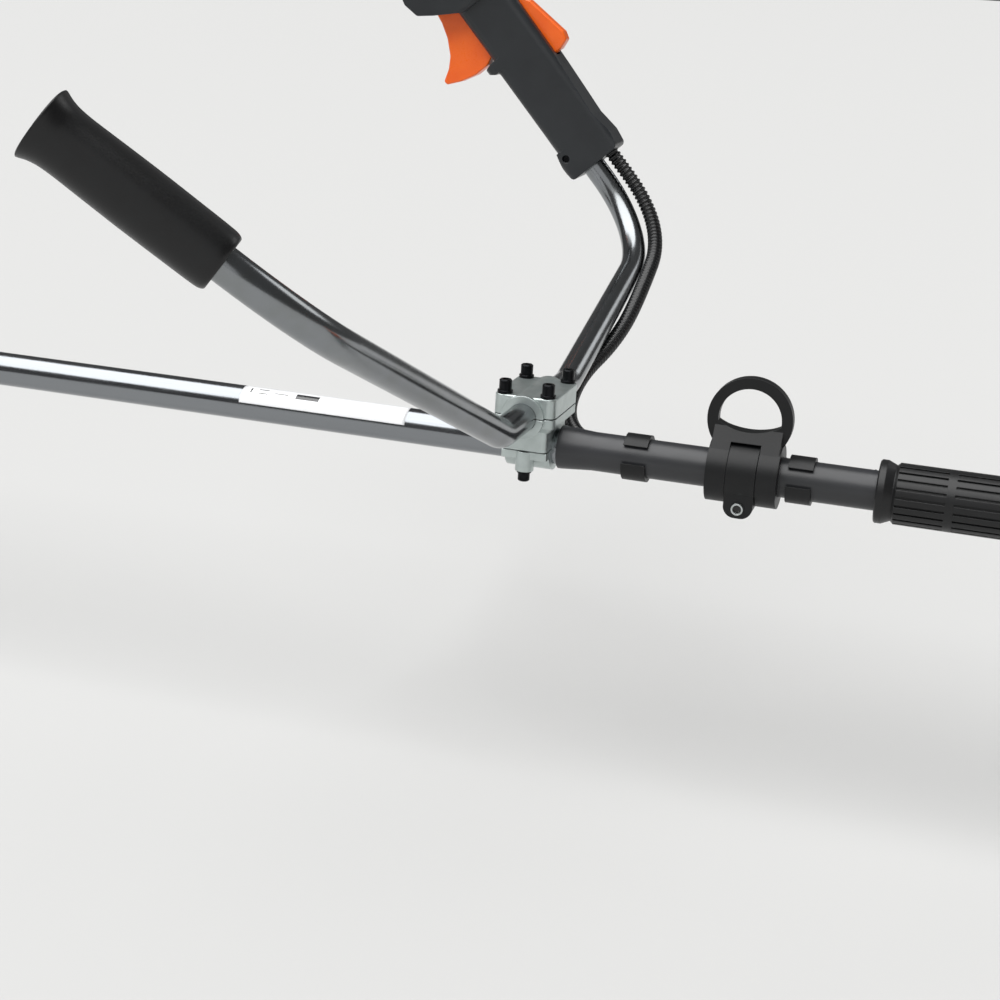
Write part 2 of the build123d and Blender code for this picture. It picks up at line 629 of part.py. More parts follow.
def cone_angles():
    """Half angles of the pinion's and the wheel's pitch cones, in degrees."""
    ratio = WHEEL_TEETH / PINION_TEETH
    sigma = radians(SHAFT_ANGLE)
    pinion = atan2(sin(sigma), ratio + cos(sigma))
    return degrees(pinion), SHAFT_ANGLE - degrees(pinion)


def bevel(half_angle, teeth, hub_r, hub_to, bore):
    """A bevel gear about z, its cone's point at the origin and its teeth below it."""
    face = 9.0
    a = radians(half_angle)
    tip = GEAR_CONE - 0.3
    r1, z1 = tip * sin(a) - 0.25, -tip * cos(a)
    r0, z0 = (tip - face) * sin(a) - 0.25, -(tip - face) * cos(a)
    back = z1 - 2.5
    gear = turned_z([(bore, z0), (r0, z0), (r1, z1), (r1 - 1.5, back), (bore, back)])
    gear += rod_z(hub_r, hub_to, back + 1) - rod_z(bore, hub_to - 1, back + 2)
    cut = Pos(r1, 0, z1) * Rot(0, half_angle, 0) * Box(2.6, 2.0, 2.6 * face)
    for i in range(teeth):
        gear -= Rot(0, 0, i * 360 / teeth) * cut
    return gear


def drive_pinion():
    half = cone_angles()[0]
    return HEAD * DRIVE * bevel(half, PINION_TEETH, 5.5, -37.5, SHAFT_OD / 2)


def bevel_gear():
    half = cone_angles()[1]
    return HEAD * Rot(180, 0, 0) * bevel(half, WHEEL_TEETH, 7.0, -26, SPINDLE_R)


def drive_shaft():
    return rod(SHAFT_OD / 2, TUBE_REAR - 10, GEAR_X - GEAR_CONE + 9)


def spindle_bearings_at():
    return (27.0 + BEARING_WIDTH / 2, -7.0 - BEARING_WIDTH / 2)


def ring_z(outer, inner, z, width):
    return rod_z(outer, z - width / 2, z + width / 2) - rod_z(inner, z - width, z + width)


def ball_bearings():
    spindle = [HEAD * ring_z(BEARING_R, SPINDLE_R + RUN, z, BEARING_WIDTH) for z in spindle_bearings_at()]
    pinion = HEAD * DRIVE * ring_z(BEARING_R, 5.5 + RUN, -GEAR_CONE - 7, BEARING_WIDTH)
    drum = rod(CLUTCH_BEARING_R, -424, -413.5) - rod(DRUM_HUB_R + RUN, -430, -400)
    crank = [
        rod(BEARING_R + 4, x - 4, x + 4) - rod(CRANK_R + RUN, x - 9, x + 9) for x in BEARING_XS
    ]
    return [*spindle, pinion, drum, *crank]


def output_spindle():
    spindle = rod_z(SPINDLE_R, -52, 27 + BEARING_WIDTH)
    return HEAD * (spindle - rod_y(1.2, -9, 9, 0, -48))


def gear_housing():
    body = rod_z(HOUSING_R, HOUSING_FOOT, 30)
    body += rod_z(15, 29, 38)
    body = fillet(body.edges().group_by(Axis.Z)[-1], 4)
    body += rod_z(32, HOUSING_FOOT + 6, HOUSING_FOOT + 10)
    body += DRIVE * rod_z(SOCKET_R, -86, 0)
    body += DRIVE * rod_z(HOUSING_R, -40, 0)
    for side in (-1, 1):
        body += Pos(0, side * 5.5, 0) * DRIVE * block(14, 24, -4.5, 4.5, -84, -66)
    room = rod_z(15.8, -3, 27)
    room += DRIVE * rod_z(13.5, -29, -8)
    room += rod_z(BEARING_R, 20, 27 + BEARING_WIDTH)
    room += rod_z(BEARING_R, -7 - BEARING_WIDTH, 0)
    room += rod_z(SPINDLE_R + 1, -40, 0)
    room += DRIVE * rod_z(BEARING_R, -37, -10)
    room += DRIVE * rod_z(9, -40, -30)
    room += DRIVE * rod_z(TUBE_OD / 2, -120, -38)
    room += DRIVE * block(0, 40, -1.2, 1.2, -90, -60)
    for z in CLAMP_SCREWS_Z:
        room += DRIVE * Pos(CLAMP_SCREW_OUT, 0, z) * rod_y(M5, -30, 30)
    for angle in SCREW_ANGLES:
        room += Rot(0, 0, angle) * rod_z(M5, -30, 0, DEFLECTOR_SCREW_R)
    room += rod_y(4, 10, 40, *GREASE_PLUG)
    return HEAD * (body - room)


def housing_screws():
    """Socket clamp screws, deflector screws and the grease plug."""
    screw = cap_screw(16, M5, 4.2, 4.6, 2.2)
    screws = []
    for z in CLAMP_SCREWS_Z:
        screws.append(HEAD * DRIVE * Pos(CLAMP_SCREW_OUT, 10, z) * Rot(-90, 0, 0) * screw)
    low = cap_screw(9.5, M5, 4.2, 4.6, 2.2)
    for angle in SCREW_ANGLES:
        seat = Pos(DEFLECTOR_SCREW_R, 0, HOUSING_FOOT + 6 - DEFLECTOR_WALL)
        screws.append(HEAD * Rot(0, 0, angle) * seat * Rot(180, 0, 0) * low)
    x, z = GREASE_PLUG
    plug = rod_y(4, 16.5, 21, x, z)
    plug += Pos(x, 21, z) * Rot(-90, 0, 0) * extrude(RegularPolygon(5.4, 6), 3.4)
    screws.append(HEAD * plug)
    return screws


def deflector():
    top = HOUSING_FOOT + 6
    wall = DEFLECTOR_WALL
    rim = DEFLECTOR_R
    profile = [
        (24, top), (70, top), (150, top - 5), (rim - 12, top - 12), (rim, top - 24), (rim, -60),
        (rim - wall, -60), (rim - wall, top - 25), (rim - 14, top - 12 - wall), (149, top - 5 - wall),
        (70, top - wall), (24, top - wall),
    ]
    outline = Plane.XZ * make_face(Polyline(*profile, close=True))
    start = 180 - DEFLECTOR_SWEEP / 2
    sheet = Rot(0, 0, start) * revolve(outline, Axis.Z, DEFLECTOR_SWEEP)
    ring = rod_z(33, top - wall, top) - rod_z(23, top - 10, top + 10)
    rib_outline = [
        (31, top - wall), (149, top - 5 - wall), (rim - 14, top - 12 - wall), (rim - wall, top - 25),
        (rim - wall, -48), (rim - 30, -37), (60, -24), (31, -24),
    ]
    rib = plate_xz(rib_outline, -1.5, 1.5)
    for side in (-1, 1):
        sheet += Rot(0, 0, 180 + side * (DEFLECTOR_SWEEP / 2 - 0.6)) * rib
    sheet += ring
    for angle in SCREW_ANGLES:
        sheet -= Rot(0, 0, angle) * rod_z(M5, -60, 10, DEFLECTOR_SCREW_R)
    return HEAD * sheet


def line_blade():
    """A small steel blade on the skirt's end that trims the line to length."""
    angle = 180 - DEFLECTOR_SWEEP / 2 + 4
    blade = block(DEFLECTOR_R + 0.02, DEFLECTOR_R + 1.6, -14, 9, -58, -40)
    return HEAD * Rot(0, 0, angle) * chamfer(blade.edges().filter_by(Axis.X), 1.5)


# --- cutting head ------------------------------------------------------------------
def thrust_plate():
    plate = rod_z(25, HEAD_TOP, HEAD_TOP + 3.5)
    plate = fillet(plate.edges().group_by(Axis.Z)[-1], 1)
    return HEAD * (plate + rod_z(9, HEAD_TOP + 3.4, HOUSING_FOOT - 0.6) - rod_z(SPINDLE_R, -60, 0))


def head_body():
    profile = [
        (SPINDLE_R, HEAD_TOP), (30, HEAD_TOP), (HEAD_R - 7, HEAD_TOP - 1.5), (HEAD_R - 2, HEAD_TOP - 5),
        (HEAD_R, HEAD_TOP - 11), (HEAD_R, HEAD_LOW + 5), (HEAD_R - 3, HEAD_LOW + 5),
        (HEAD_R - 3, HEAD_TOP - 10.5), (HEAD_R - 5, HEAD_TOP - 6), (HEAD_R - 8, HEAD_TOP - 4.8),
        (28, HEAD_TOP - 4), (8, HEAD_TOP - 4), (8, HEAD_TOP - 26), (SPINDLE_R, HEAD_TOP - 26),
    ]
    body = turned_z(profile)
    for i in range(12):
        rib = block(HEAD_R - 1, HEAD_R + 1.6, -1.6, 1.6, HEAD_LOW + 9, HEAD_TOP - 17)
        body += Rot(0, 0, 15 + i * 30) * rib
    for side in (0, 180):
        body -= Rot(0, 0, side) * rod(4.5, HEAD_R - 8, HEAD_R + 8, 0, EYELET_Z)
    return HEAD * body


def head_cover():
    profile = [
        (KNOB_R + 1.2, HEAD_LOW), (HEAD_R - 2, HEAD_LOW), (HEAD_R + 1.5, HEAD_LOW + 2.5),
        (HEAD_R + 1.5, HEAD_LOW + 5), (HEAD_R - 3.2, HEAD_LOW + 5), (HEAD_R - 3.2, HEAD_LOW + 3),
        (KNOB_R + 1.2, HEAD_LOW + 3),
    ]
    cover = turned_z(profile)
    for i in range(3):
        tab = block(HEAD_R + 0.2, HEAD_R + 3, -6, 6, HEAD_LOW + 2.5, HEAD_LOW + 8)
        cover += Rot(0, 0, 45 + i * 120) * tab
    return HEAD * cover


def line_eyelets():
    eyelets = []
    for side in (0, 180):
        sleeve = rod(4.5, HEAD_R - 6, HEAD_R + 1) + rod(6, HEAD_R, HEAD_R + 3)
        sleeve -= rod(LINE_OD / 2 + 0.05, HEAD_R - 20, HEAD_R + 10)
        eyelets.append(HEAD * Rot(0, 0, side) * Pos(0, 0, EYELET_Z) * sleeve)
    return eyelets


def cutting_lines():
    lines = []
    for side in (0, 180):
        start = HEAD_R - 5.5
        path = FilletPolyline(
            (start, 0, EYELET_Z), (start + 44, 0, EYELET_Z), (start + 90, 5, EYELET_Z - 2.5),
            (CUT_RADIUS, 15, EYELET_Z - 5), radius=[120, 120],
        )
        line = sweep(Plane(origin=path @ 0, z_dir=path % 0) * Circle(LINE_OD / 2), path=path)
        lines.append(HEAD * Rot(0, 0, side) * line)
    return lines


def line_spool():
    spool = turned_z([
        (13.5, SPOOL_TOP), (47, SPOOL_TOP), (47, SPOOL_TOP - 2), (36, SPOOL_TOP - 2.2),
        (36, SPOOL_BOTTOM + 2.2), (47, SPOOL_BOTTOM + 2), (47, SPOOL_BOTTOM), (13.5, SPOOL_BOTTOM),
    ])
    return HEAD * spool


def bump_knob():
    knob = turned_z([
        (8.1, SPOOL_TOP + 1), (13.3, SPOOL_TOP + 1), (13.3, SPOOL_BOTTOM - 0.3),
        (KNOB_R - 3, SPOOL_BOTTOM - 0.3), (KNOB_R, SPOOL_BOTTOM - 2.5), (KNOB_R, HEAD_LOW - 8),
        (KNOB_R - 4, HEAD_LOW - 14), (10, HEAD_LOW - 16.5), (0, HEAD_LOW - 17), (0, HEAD_LOW - 12),
        (8.1, HEAD_LOW - 12),
    ])
    return HEAD * knob


def spool_spring():
    """A coil between the head's top and the knob, drawn as its closed outline."""
    coils = []
    turns = 4
    for i in range(turns):
        z = HEAD_TOP - 5.0 - i * (SPOOL_TOP + 1 - HEAD_TOP + 5.9) / -(turns - 1)
        coils.append(HEAD * Pos(0, 0, z) * Torus(10.6, 0.8))
    return coils


# --- engine ------------------------------------------------------------------------
def clutch_housing():
    outline = [
        (-372, TUBE_OD / 2), (-372, 18), (-374, 19.5), (-400, 19.5), (-434, 43), (-446, 46),
        (CLUTCH_FLANGE, 46), (CLUTCH_FLANGE, 37), (-426, 37), (-424.5, CLUTCH_BEARING_R),
        (-413.5, CLUTCH_BEARING_R), (-413, 9), (-412, TUBE_OD / 2),
    ]
    body = turned_x(outline)
    for i in range(8):
        web = Rot(i * 45, 0, 0) * block(-446, -402, -1.5, 1.5, 17, 43.5)
        body += web & turned_x([(-402, 18), (-446, 18), (-446, 46), (-438, 46), (-402, 24)])
    for i in range(4):
        ear = Rot(45 + i * 90, 0, 0) * rod(6, CLUTCH_FLANGE, CLUTCH_FLANGE + 9, 0, 46)
        body += ear
    body -= rod(37, CLUTCH_FLANGE - 1, -426)
    body += rod(19.5, -408, -376) - rod(TUBE_OD / 2, -450, -300)
    body -= block(-402, -360, -1.2, 1.2, 0, -30)
    return body


def clutch_drum():
    drum = rod(DRUM_R, -447, -426.5) - rod(DRUM_R - 3, -460, -429.5)
    drum += rod(DRUM_HUB_R, -432, -413.6)
    return drum - rod(SHAFT_OD / 2, -422.0, -400)


def clutch_shoes():
    ring = rod(DRUM_R - 3.8, -445, -431.5) - rod(15, -460, -420)
    shoes = []
    for side in (-1, 1):
        shoes.append(ring & block(-460, -420, -40, 40, side * 3, side * 50))
    carrier = rod(14.6, -449, -433.5) - rod(CRANK_R, -460, -420)
    return [*shoes, carrier]


def flywheel():
    wheel = rod(FAN_R - 3, -478, -470) + rod(16, -478, -450)
    for i in range(14):
        wheel += Rot(i * 360 / 14, 0, 0) * block(-470.5, -459, -1.3, 1.3, 18, FAN_R - 3)
    return wheel - rod(CRANK_R, -490, -440)


def crankshaft():
    shaft = rod(CRANK_R, STARTER_REAR + 12, -434)
    for x in (CYLINDER_X - 7, CYLINDER_X + 7):
        shaft += rod(25, x - 4, x + 4)
    return shaft


def fan_housing():
    body = rod(FAN_R + 4, FAN_REAR, CLUTCH_FLANGE) - rod(FAN_R, FAN_REAR - 1, CLUTCH_FLANGE - 3)
    body -= rod(38, -470, -450)
    for i in range(24):
        body -= Rot(i * 15, 0, 0) * block(-479, -461, -2.2, 2.2, FAN_R - 2, FAN_R + 8)
    return body


def crankcase():
    case = block(FAN_REAR, CASE_REAR, -34, 34, -38, 36)
    case = fillet(case.edges().filter_by(Axis.X), 10)
    case += rod(FAN_R + 4, FAN_REAR - 4, FAN_REAR)
    case += block(CYLINDER_X - FIN_HALF, CYLINDER_X + FIN_HALF, -28, 28, 30, 38)
    case -= rod(28, CYLINDER_X - 16, CYLINDER_X + 16)
    case -= rod(BEARING_R + 4, CASE_REAR - 1, FAN_REAR + 1)
    case -= rod_z(BORE_R, 0, 60, CYLINDER_X)
    return case


def cylinder():
    barrel = rod_z(21, 38, 96, CYLINDER_X)
    barrel += block(CYLINDER_X - FIN_HALF, CYLINDER_X + FIN_HALF, -28, 28, 38, 43)
    for i in range(FIN_COUNT):
        z = 48 + i * 5.6
        fin = block(CYLINDER_X - FIN_HALF, CYLINDER_X + FIN_HALF, -32, 32, z, z + 1.8)
        barrel += fillet(fin.edges().filter_by(Axis.Z), 12)
    barrel += block(CYLINDER_X - 14, CYLINDER_X + 14, 15, 36, 50, 76)
    barrel += block(CYLINDER_X - 14, CYLINDER_X + 14, -36, -15, 50, 76)
    barrel -= rod_z(BORE_R, 30, 84, CYLINDER_X)
    barrel -= rod_z(4.5, 80, 105, CYLINDER_X)
    barrel -= rod_y(6, 10, 40, CYLINDER_X, 63)
    return barrel - rod_y(6, -40, -10, CYLINDER_X, 63)


def spark_plug():
    plug = rod_z(4.5, 84, 96, CYLINDER_X)
    plug += Pos(CYLINDER_X, 0, 96) * extrude(RegularPolygon(8, 6), 5)
    boot = rod_z(7.5, 101, 115, CYLINDER_X)
    return plug + fillet(boot.edges().group_by(Axis.Z)[-1], 3)


def engine_shroud():
    front, rear = -473.0, -554.0
    low, high, half = 57.0, 124.0, 39.0
    cover = block(front, rear, -half, half, low, high)
    cover = fillet(cover.edges().filter_by(Axis.X).group_by(Axis.Z)[-1], 20)
    cover = fillet(cover.edges().group_by(Axis.Z)[-1], 4)
    inner = block(front - 3, rear + 3, -half + 3, half - 3, low - 5, high - 3)
    inner = fillet(inner.edges().filter_by(Axis.X).group_by(Axis.Z)[-1], 17)
    cover -= inner
    for side in (-1, 1):
        window = block(CYLINDER_X - 20, CYLINDER_X + 20, side * 30, side * 50, low - 1, 80)
        cover -= window
    for i in range(5):
        x = CYLINDER_X + 18 - i * 9
        cover -= block(x - 2.2, x + 2.2, -16, 16, high - 6, high + 2)
    for i in range(6):
        z = 66 + i * 7.0
        cover -= block(rear - 2, rear + 5, -22, 22, z, z + 3)
    return cover - rod(CONDUIT_OD / 2 + 0.4, -490, -460, -14.4, 66.3)


def carburettor():
    body = block(CYLINDER_X - 13, CYLINDER_X + 13, 39.5, 52, 52, 74)
    body += rod_y(8, 36, 40, CYLINDER_X, 63)
    body += rod_z(5, 46, 52.5, CYLINDER_X, 45)
    return body - rod_y(6, 30, 60, CYLINDER_X, 63)


def air_filter_cover():
    box = block(CYLINDER_X - 29, CYLINDER_X + 29, 52, 84, 32, 92)
    box = fillet(box.edges().filter_by(Axis.Y), 12)
    box = fillet(box.edges().group_by(Axis.Y)[-1], 7)
    room = block(CYLINDER_X - 26, CYLINDER_X + 26, 55, 80, 35, 89)
    box -= room
    for i in range(4):
        z = 46 + i * 5.0
        box -= block(CYLINDER_X - 16, CYLINDER_X + 16, 82, 86, z, z + 2)
    knob = rod_y(7, 83.5, 90, CYLINDER_X, 76)
    knob += rod(CHOKE_PIN_R, CYLINDER_X + 27, CHOKE_FRONT + 0.6, *CHOKE_AT)
    knob += rod(CHOKE_PIN_R + 1.2, CHOKE_FRONT + SLIDE, CHOKE_FRONT + 1.6, *CHOKE_AT)
    return box + knob - rod_y(6, 50, 58, CYLINDER_X, 63) - block(
        CYLINDER_X + 10, CYLINDER_X + 20, 51, 56, 36, 44)


def choke_lever():
    x = CHOKE_FRONT
    y, z = CHOKE_AT
    lever = rod(5, x - 3.7, x, y, z) + block(x - 3.2, x, y - 4.5, y + 4.5, z, z + 18)
    lever += rod(4.5, x - 3.2, x, y, z + 18)
    return lever - rod(CHOKE_PIN_R + RUN, x - 5, x + 3, y, z)


def muffler():
    box = block(CYLINDER_X - 27, CYLINDER_X + 27, -76, -42, 36, 90)
    box = fillet(box.edges().filter_by(Axis.Y), 9)
    box = fillet(box.edges().group_by(Axis.Y)[0], 6)
    box += block(CYLINDER_X - 15, CYLINDER_X + 15, -43, -36, 52, 74)
    for i in range(4):
        z = 48 + i * 9.0
        box += block(CYLINDER_X - 20, CYLINDER_X + 20, -78, -75, z, z + 3)
    return box - rod_y(6, -50, -30, CYLINDER_X, 63) - rod_y(5, -90, -70, CYLINDER_X + 14, 80)


def starter_cover():
    body = rod(STARTER_R, STARTER_REAR, CASE_REAR)
    body = fillet(body.edges().group_by(Axis.X)[0], 9)
    body -= rod(STARTER_R - 3, STARTER_REAR + 4, CASE_REAR + 1)
    for i in range(16):
        body -= Rot(i * 22.5, 0, 0) * block(STARTER_REAR - 2, STARTER_REAR + 6, -1.8, 1.8, 17, 38)
    spout = Rot(45, 0, 0) * rod_y(8, STARTER_R - 6, STARTER_R + 6, STARTER_X)
    body += spout
    return body - Rot(45, 0, 0) * rod_y(2.2, 20, 80, STARTER_X)


def starter_grip():
    out = STARTER_R + 6.3
    handle = rod(6.5, STARTER_X - 16, STARTER_X + 16)
    handle = fillet(handle.edges().filter_by(GeomType.CIRCLE), 4)
    grip = Pos(0, out + 12, 0) * handle
    stem = rod_y(6, out, out + 12, STARTER_X)
    grip += stem
    return Rot(45, 0, 0) * (grip - rod_y(ROPE_R, 0, out + 9, STARTER_X))


def starter_rope():
    return Rot(45, 0, 0) * rod_y(ROPE_R, STARTER_R - 8, STARTER_R + 15, STARTER_X)


def fuel_tank():
    front, rear, half, low, high = TANK
    tank = block(front, rear, -half, half, low, high)
    tank = fillet(tank.edges(), 9)
    tank += rod_y(14, half - 4, half + 6, CAP_X, CAP_Z)
    room = block(front - 3, rear + 3, -half + 3, half - 3, low + 3, high - 3)
    room = fillet(room.edges(), 6)
    return tank - room - rod_y(10, half - 5, half + 10, CAP_X, CAP_Z)


def fuel_cap():
    half = TANK[2]
    cap = rod_y(17, half + 6.3, half + 17, CAP_X, CAP_Z)
    cap = fillet(cap.edges().group_by(Axis.Y)[-1], 2)
    for i in range(12):
        cap -= Pos(CAP_X, half + 12, CAP_Z) * Rot(0, i * 30, 0) * block(16.2, 20, -8, 8, -1.5, 1.5)
    return cap + rod_y(9.9, half - 2, half + 6.5, CAP_X, CAP_Z)


def tank_guard():
    """Plastic cradle that holds the tank and is the machine's rear foot."""
    front, rear, half, low, high = TANK
    body = block(front + 6, rear - 6, -half - 5, half + 5, low - 12, low - 0.02)
    body = fillet(body.edges().filter_by(Axis.Z), 10)
    body -= block(front - 22, rear + 22, -half + 14, half - 14, low - 14, low + 2)
    for x0, x1 in ((front + 1, front + 6), (rear - 6, rear - 1)):
        body += block(x0, x1, -20, 20, low - 4, high + 5.7)
    body += block(front + 6, rear - 6, -20, 20, high + 0.3, high + 5.7)
    body += block(FAN_REAR - 10, FAN_REAR - 24, -20, 20, high + 3, -38)
    body += block(CASE_REAR + 6, CASE_REAR + 20, -20, 20, high + 3, -38)
    return body


def main():
    os.makedirs("parts", exist_ok=True)
    right_shell, left_shell = control_shells()
    handle = handle_frame()
    save("drive_tube", drive_tube())
    save("shaft_bushes", *shaft_bushes())
    save("drive_shaft", drive_shaft())
    save("tube_sleeve", tube_sleeve())
    save("cable_clips", *cable_clips())
    save("ribbed_sleeve", ribbed_sleeve())
    save("harness_carrier", harness_carrier())
    save("harness_strap", harness_strap())
    save("harness_screw", harness_screw())
    save("handlebar_tube", handlebar_tube())
    save("left_grip", left_grip())
    save("clamp_cap", clamp_cap())
    save("clamp_block", clamp_block())
    save("clamp_lower", clamp_lower())
    save("cap_screws", *cap_screws())
    save("lower_screws", *lower_screws())
    save("control_shell_right", handle * right_shell)
    save("control_shell_left", handle * left_shell)
    save("stop_switch", handle * stop_switch())
    save("throttle_trigger", handle * throttle_trigger())
    save("throttle_lockout", handle * throttle_lockout())
    save("control_pins", *[handle * pin for pin in control_pins()])
    save("control_screws", *[handle * screw for screw in control_screws()])
    save("cable_conduit", cable_conduit())
    save("gear_housing", gear_housing())
    save("drive_pinion", drive_pinion())
    save("bevel_gear", bevel_gear())
    save("output_spindle", output_spindle())
    save("ball_bearings", *ball_bearings())
    save("housing_screws", *housing_screws())
    save("deflector", deflector())
    save("line_blade", line_blade())
    save("thrust_plate", thrust_plate())
    save("head_body", head_body())
    save("head_cover", head_cover())
    save("line_eyelets", *line_eyelets())
    save("cutting_lines", *cutting_lines())
    save("line_spool", line_spool())
    save("bump_knob", bump_knob())
    save("spool_spring", *spool_spring())
    save("clutch_housing", clutch_housing())
    save("clutch_drum", clutch_drum())
    save("clutch_shoes", *clutch_shoes())
    save("flywheel", flywheel())
    save("crankshaft", crankshaft())
    save("fan_housing", fan_housing())
    save("crankcase", crankcase())
    save("cylinder", cylinder())
    save("spark_plug", spark_plug())
    save("engine_shroud", engine_shroud())
    save("carburettor", carburettor())
    save("air_filter_cover", air_filter_cover())
    save("choke_lever", choke_lever())
    save("muffler", muffler())
    save("starter_cover", starter_cover())
    save("starter_grip", starter_grip())
    save("starter_rope", starter_rope())
    save("fuel_tank", fuel_tank())
    save("fuel_cap", fuel_cap())
    save("tank_guard", tank_guard())


main()
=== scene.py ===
import json
import math

import bpy
import numpy as np
from bpy.props import FloatProperty, FloatVectorProperty, IntProperty, PointerProperty, StringProperty
from mathutils import Matrix, Vector


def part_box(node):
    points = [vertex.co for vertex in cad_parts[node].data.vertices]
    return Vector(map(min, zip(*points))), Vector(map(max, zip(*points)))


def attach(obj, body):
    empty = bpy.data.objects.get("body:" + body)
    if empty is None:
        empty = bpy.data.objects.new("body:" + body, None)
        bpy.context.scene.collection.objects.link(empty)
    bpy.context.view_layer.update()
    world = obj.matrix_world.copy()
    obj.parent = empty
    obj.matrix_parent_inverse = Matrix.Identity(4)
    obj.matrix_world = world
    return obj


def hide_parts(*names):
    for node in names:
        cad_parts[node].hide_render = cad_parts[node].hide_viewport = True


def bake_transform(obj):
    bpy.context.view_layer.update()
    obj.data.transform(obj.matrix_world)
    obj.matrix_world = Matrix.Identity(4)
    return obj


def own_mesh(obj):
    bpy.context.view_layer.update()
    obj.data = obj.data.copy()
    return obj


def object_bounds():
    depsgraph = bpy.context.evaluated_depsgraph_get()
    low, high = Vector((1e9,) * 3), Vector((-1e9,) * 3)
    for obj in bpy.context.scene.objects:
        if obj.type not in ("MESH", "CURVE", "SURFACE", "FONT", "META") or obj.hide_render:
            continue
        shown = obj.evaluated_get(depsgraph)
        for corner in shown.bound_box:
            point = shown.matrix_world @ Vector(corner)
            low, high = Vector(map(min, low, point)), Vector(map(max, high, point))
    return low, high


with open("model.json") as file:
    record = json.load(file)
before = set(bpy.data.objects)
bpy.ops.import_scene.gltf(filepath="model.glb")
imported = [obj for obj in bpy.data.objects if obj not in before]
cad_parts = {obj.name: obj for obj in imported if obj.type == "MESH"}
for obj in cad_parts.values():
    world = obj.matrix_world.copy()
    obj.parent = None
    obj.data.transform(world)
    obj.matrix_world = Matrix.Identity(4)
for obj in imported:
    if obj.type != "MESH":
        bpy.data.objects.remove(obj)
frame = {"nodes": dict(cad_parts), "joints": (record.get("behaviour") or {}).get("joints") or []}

bl_info = {
    "name": "String Trimmer Finish",
    "version": (1, 0, 0),
    "blender": (4, 5, 0),
    "location": "3D View > Sidebar > Trimmer",
    "description": "Gives the string trimmer its detailed meshes, finishes, lights and camera",
    "category": "Object",
}

MM = 0.001
NODES = frame["nodes"]
JOINTS = {joint["name"]: joint for joint in frame["joints"]}
CAD_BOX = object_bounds()

# How far a rounded edge's normal still agrees with the flat one where wear starts and where
# it is at its most, and how much of the worn tone shows there.
WEAR_STARTS = 0.995
WEAR_FULL = 0.88
MOST_WORN = 0.75


# --- colours, nodes and the shared base of every finish ---------------------------

def linear(hex_colour):
    """An sRGB hex colour as linear red, green, blue and alpha."""
    channels = [int(hex_colour[i:i + 2], 16) / 255 for i in (1, 3, 5)]
    return [c / 12.92 if c <= 0.04045 else ((c + 0.055) / 1.055) ** 2.4 for c in channels] + [1.0]


def per_mm(size):
    """The scale of a pattern whose features are this many millimetres apart."""
    return 1000.0 / size


def add(tree, kind, settings=None, links=None):
    """Add one node with its settings and its incoming links, each by socket or setting name."""
    node = tree.nodes.new(kind)
    for name, value in (settings or {}).items():
        if isinstance(name, int) or name in node.inputs:
            node.inputs[name].default_value = value
        else:
            setattr(node, name, value)
    for name, source in (links or {}).items():
        tree.links.new(source, node.inputs[name])
    return node


def shader_of(material):
    """The principled shader of a finish."""
    return next(node for node in material.node_tree.nodes if node.type == "BSDF_PRINCIPLED")


def surface(name, colour, deep, worn, metallic, roughness, ior, grain, relief,
            mottle=22.0, edge=0.4, stretch=(1, 1, 1), rough_spread=0.08, shader=None):
    """A finish with a grain of that size and depth in millimetres, cloudy colour between two
    tones, and edges of that radius that show a worn tone. The shader's plain values go
    straight onto its sockets."""
    material = bpy.data.materials.new(name)
    material.use_nodes = True
    tree = material.node_tree
    tree.nodes.clear()
    place = add(tree, "ShaderNodeTexCoord").outputs["Object"]
    laid = add(tree, "ShaderNodeMapping", {"Scale": stretch}, {"Vector": place}).outputs[0]
    fine = add(tree, "ShaderNodeTexNoise", {"Scale": per_mm(grain), "Detail": 4.0}, {"Vector": laid})
    cloud = add(tree, "ShaderNodeTexNoise", {"Scale": per_mm(mottle), "Detail": 3.0}, {"Vector": laid})
    rounded = add(tree, "ShaderNodeBevel", {"samples": 4, "Radius": edge * MM})
    flat = add(tree, "ShaderNodeNewGeometry")
    facing = add(tree, "ShaderNodeVectorMath", {"operation": "DOT_PRODUCT"},
                 {0: rounded.outputs[0], 1: flat.outputs["Normal"]})
    at_edge = add(tree, "ShaderNodeMapRange",
                  {"From Min": WEAR_STARTS, "From Max": WEAR_FULL, "To Max": MOST_WORN},
                  {"Value": facing.outputs["Value"]})
    rubbed = add(tree, "ShaderNodeMath", {"operation": "MULTIPLY"},
                 {0: at_edge.outputs[0], 1: cloud.outputs["Fac"]})
    tone = add(tree, "ShaderNodeMapRange", {"From Min": 0.35, "From Max": 0.65},
               {"Value": cloud.outputs["Fac"]})
    body = add(tree, "ShaderNodeMix", {"data_type": "RGBA", 6: linear(colour), 7: linear(deep)},
               {"Factor": tone.outputs[0]})
    shown = add(tree, "ShaderNodeMix", {"data_type": "RGBA", 7: linear(worn)},
                {"Factor": rubbed.outputs[0], 6: body.outputs[2]})
    gloss = add(tree, "ShaderNodeMapRange",
                {"From Min": 0.3, "From Max": 0.7, "To Min": roughness - rough_spread / 2,
                 "To Max": roughness + rough_spread / 2}, {"Value": fine.outputs["Fac"]})
    bump = add(tree, "ShaderNodeBump", {"Strength": 0.6, "Distance": relief * MM},
               {"Height": fine.outputs["Fac"], "Normal": rounded.outputs[0]})
    plain = {"Metallic": metallic, "IOR": ior, **(shader or {})}
    bsdf = add(tree, "ShaderNodeBsdfPrincipled", plain,
               {"Base Color": shown.outputs[2], "Roughness": gloss.outputs[0], "Normal": bump.outputs[0]})
    add(tree, "ShaderNodeOutputMaterial", None, {"Surface": bsdf.outputs[0]})
    return material


# --- finishes, each named for the real material and how it was made ------------------

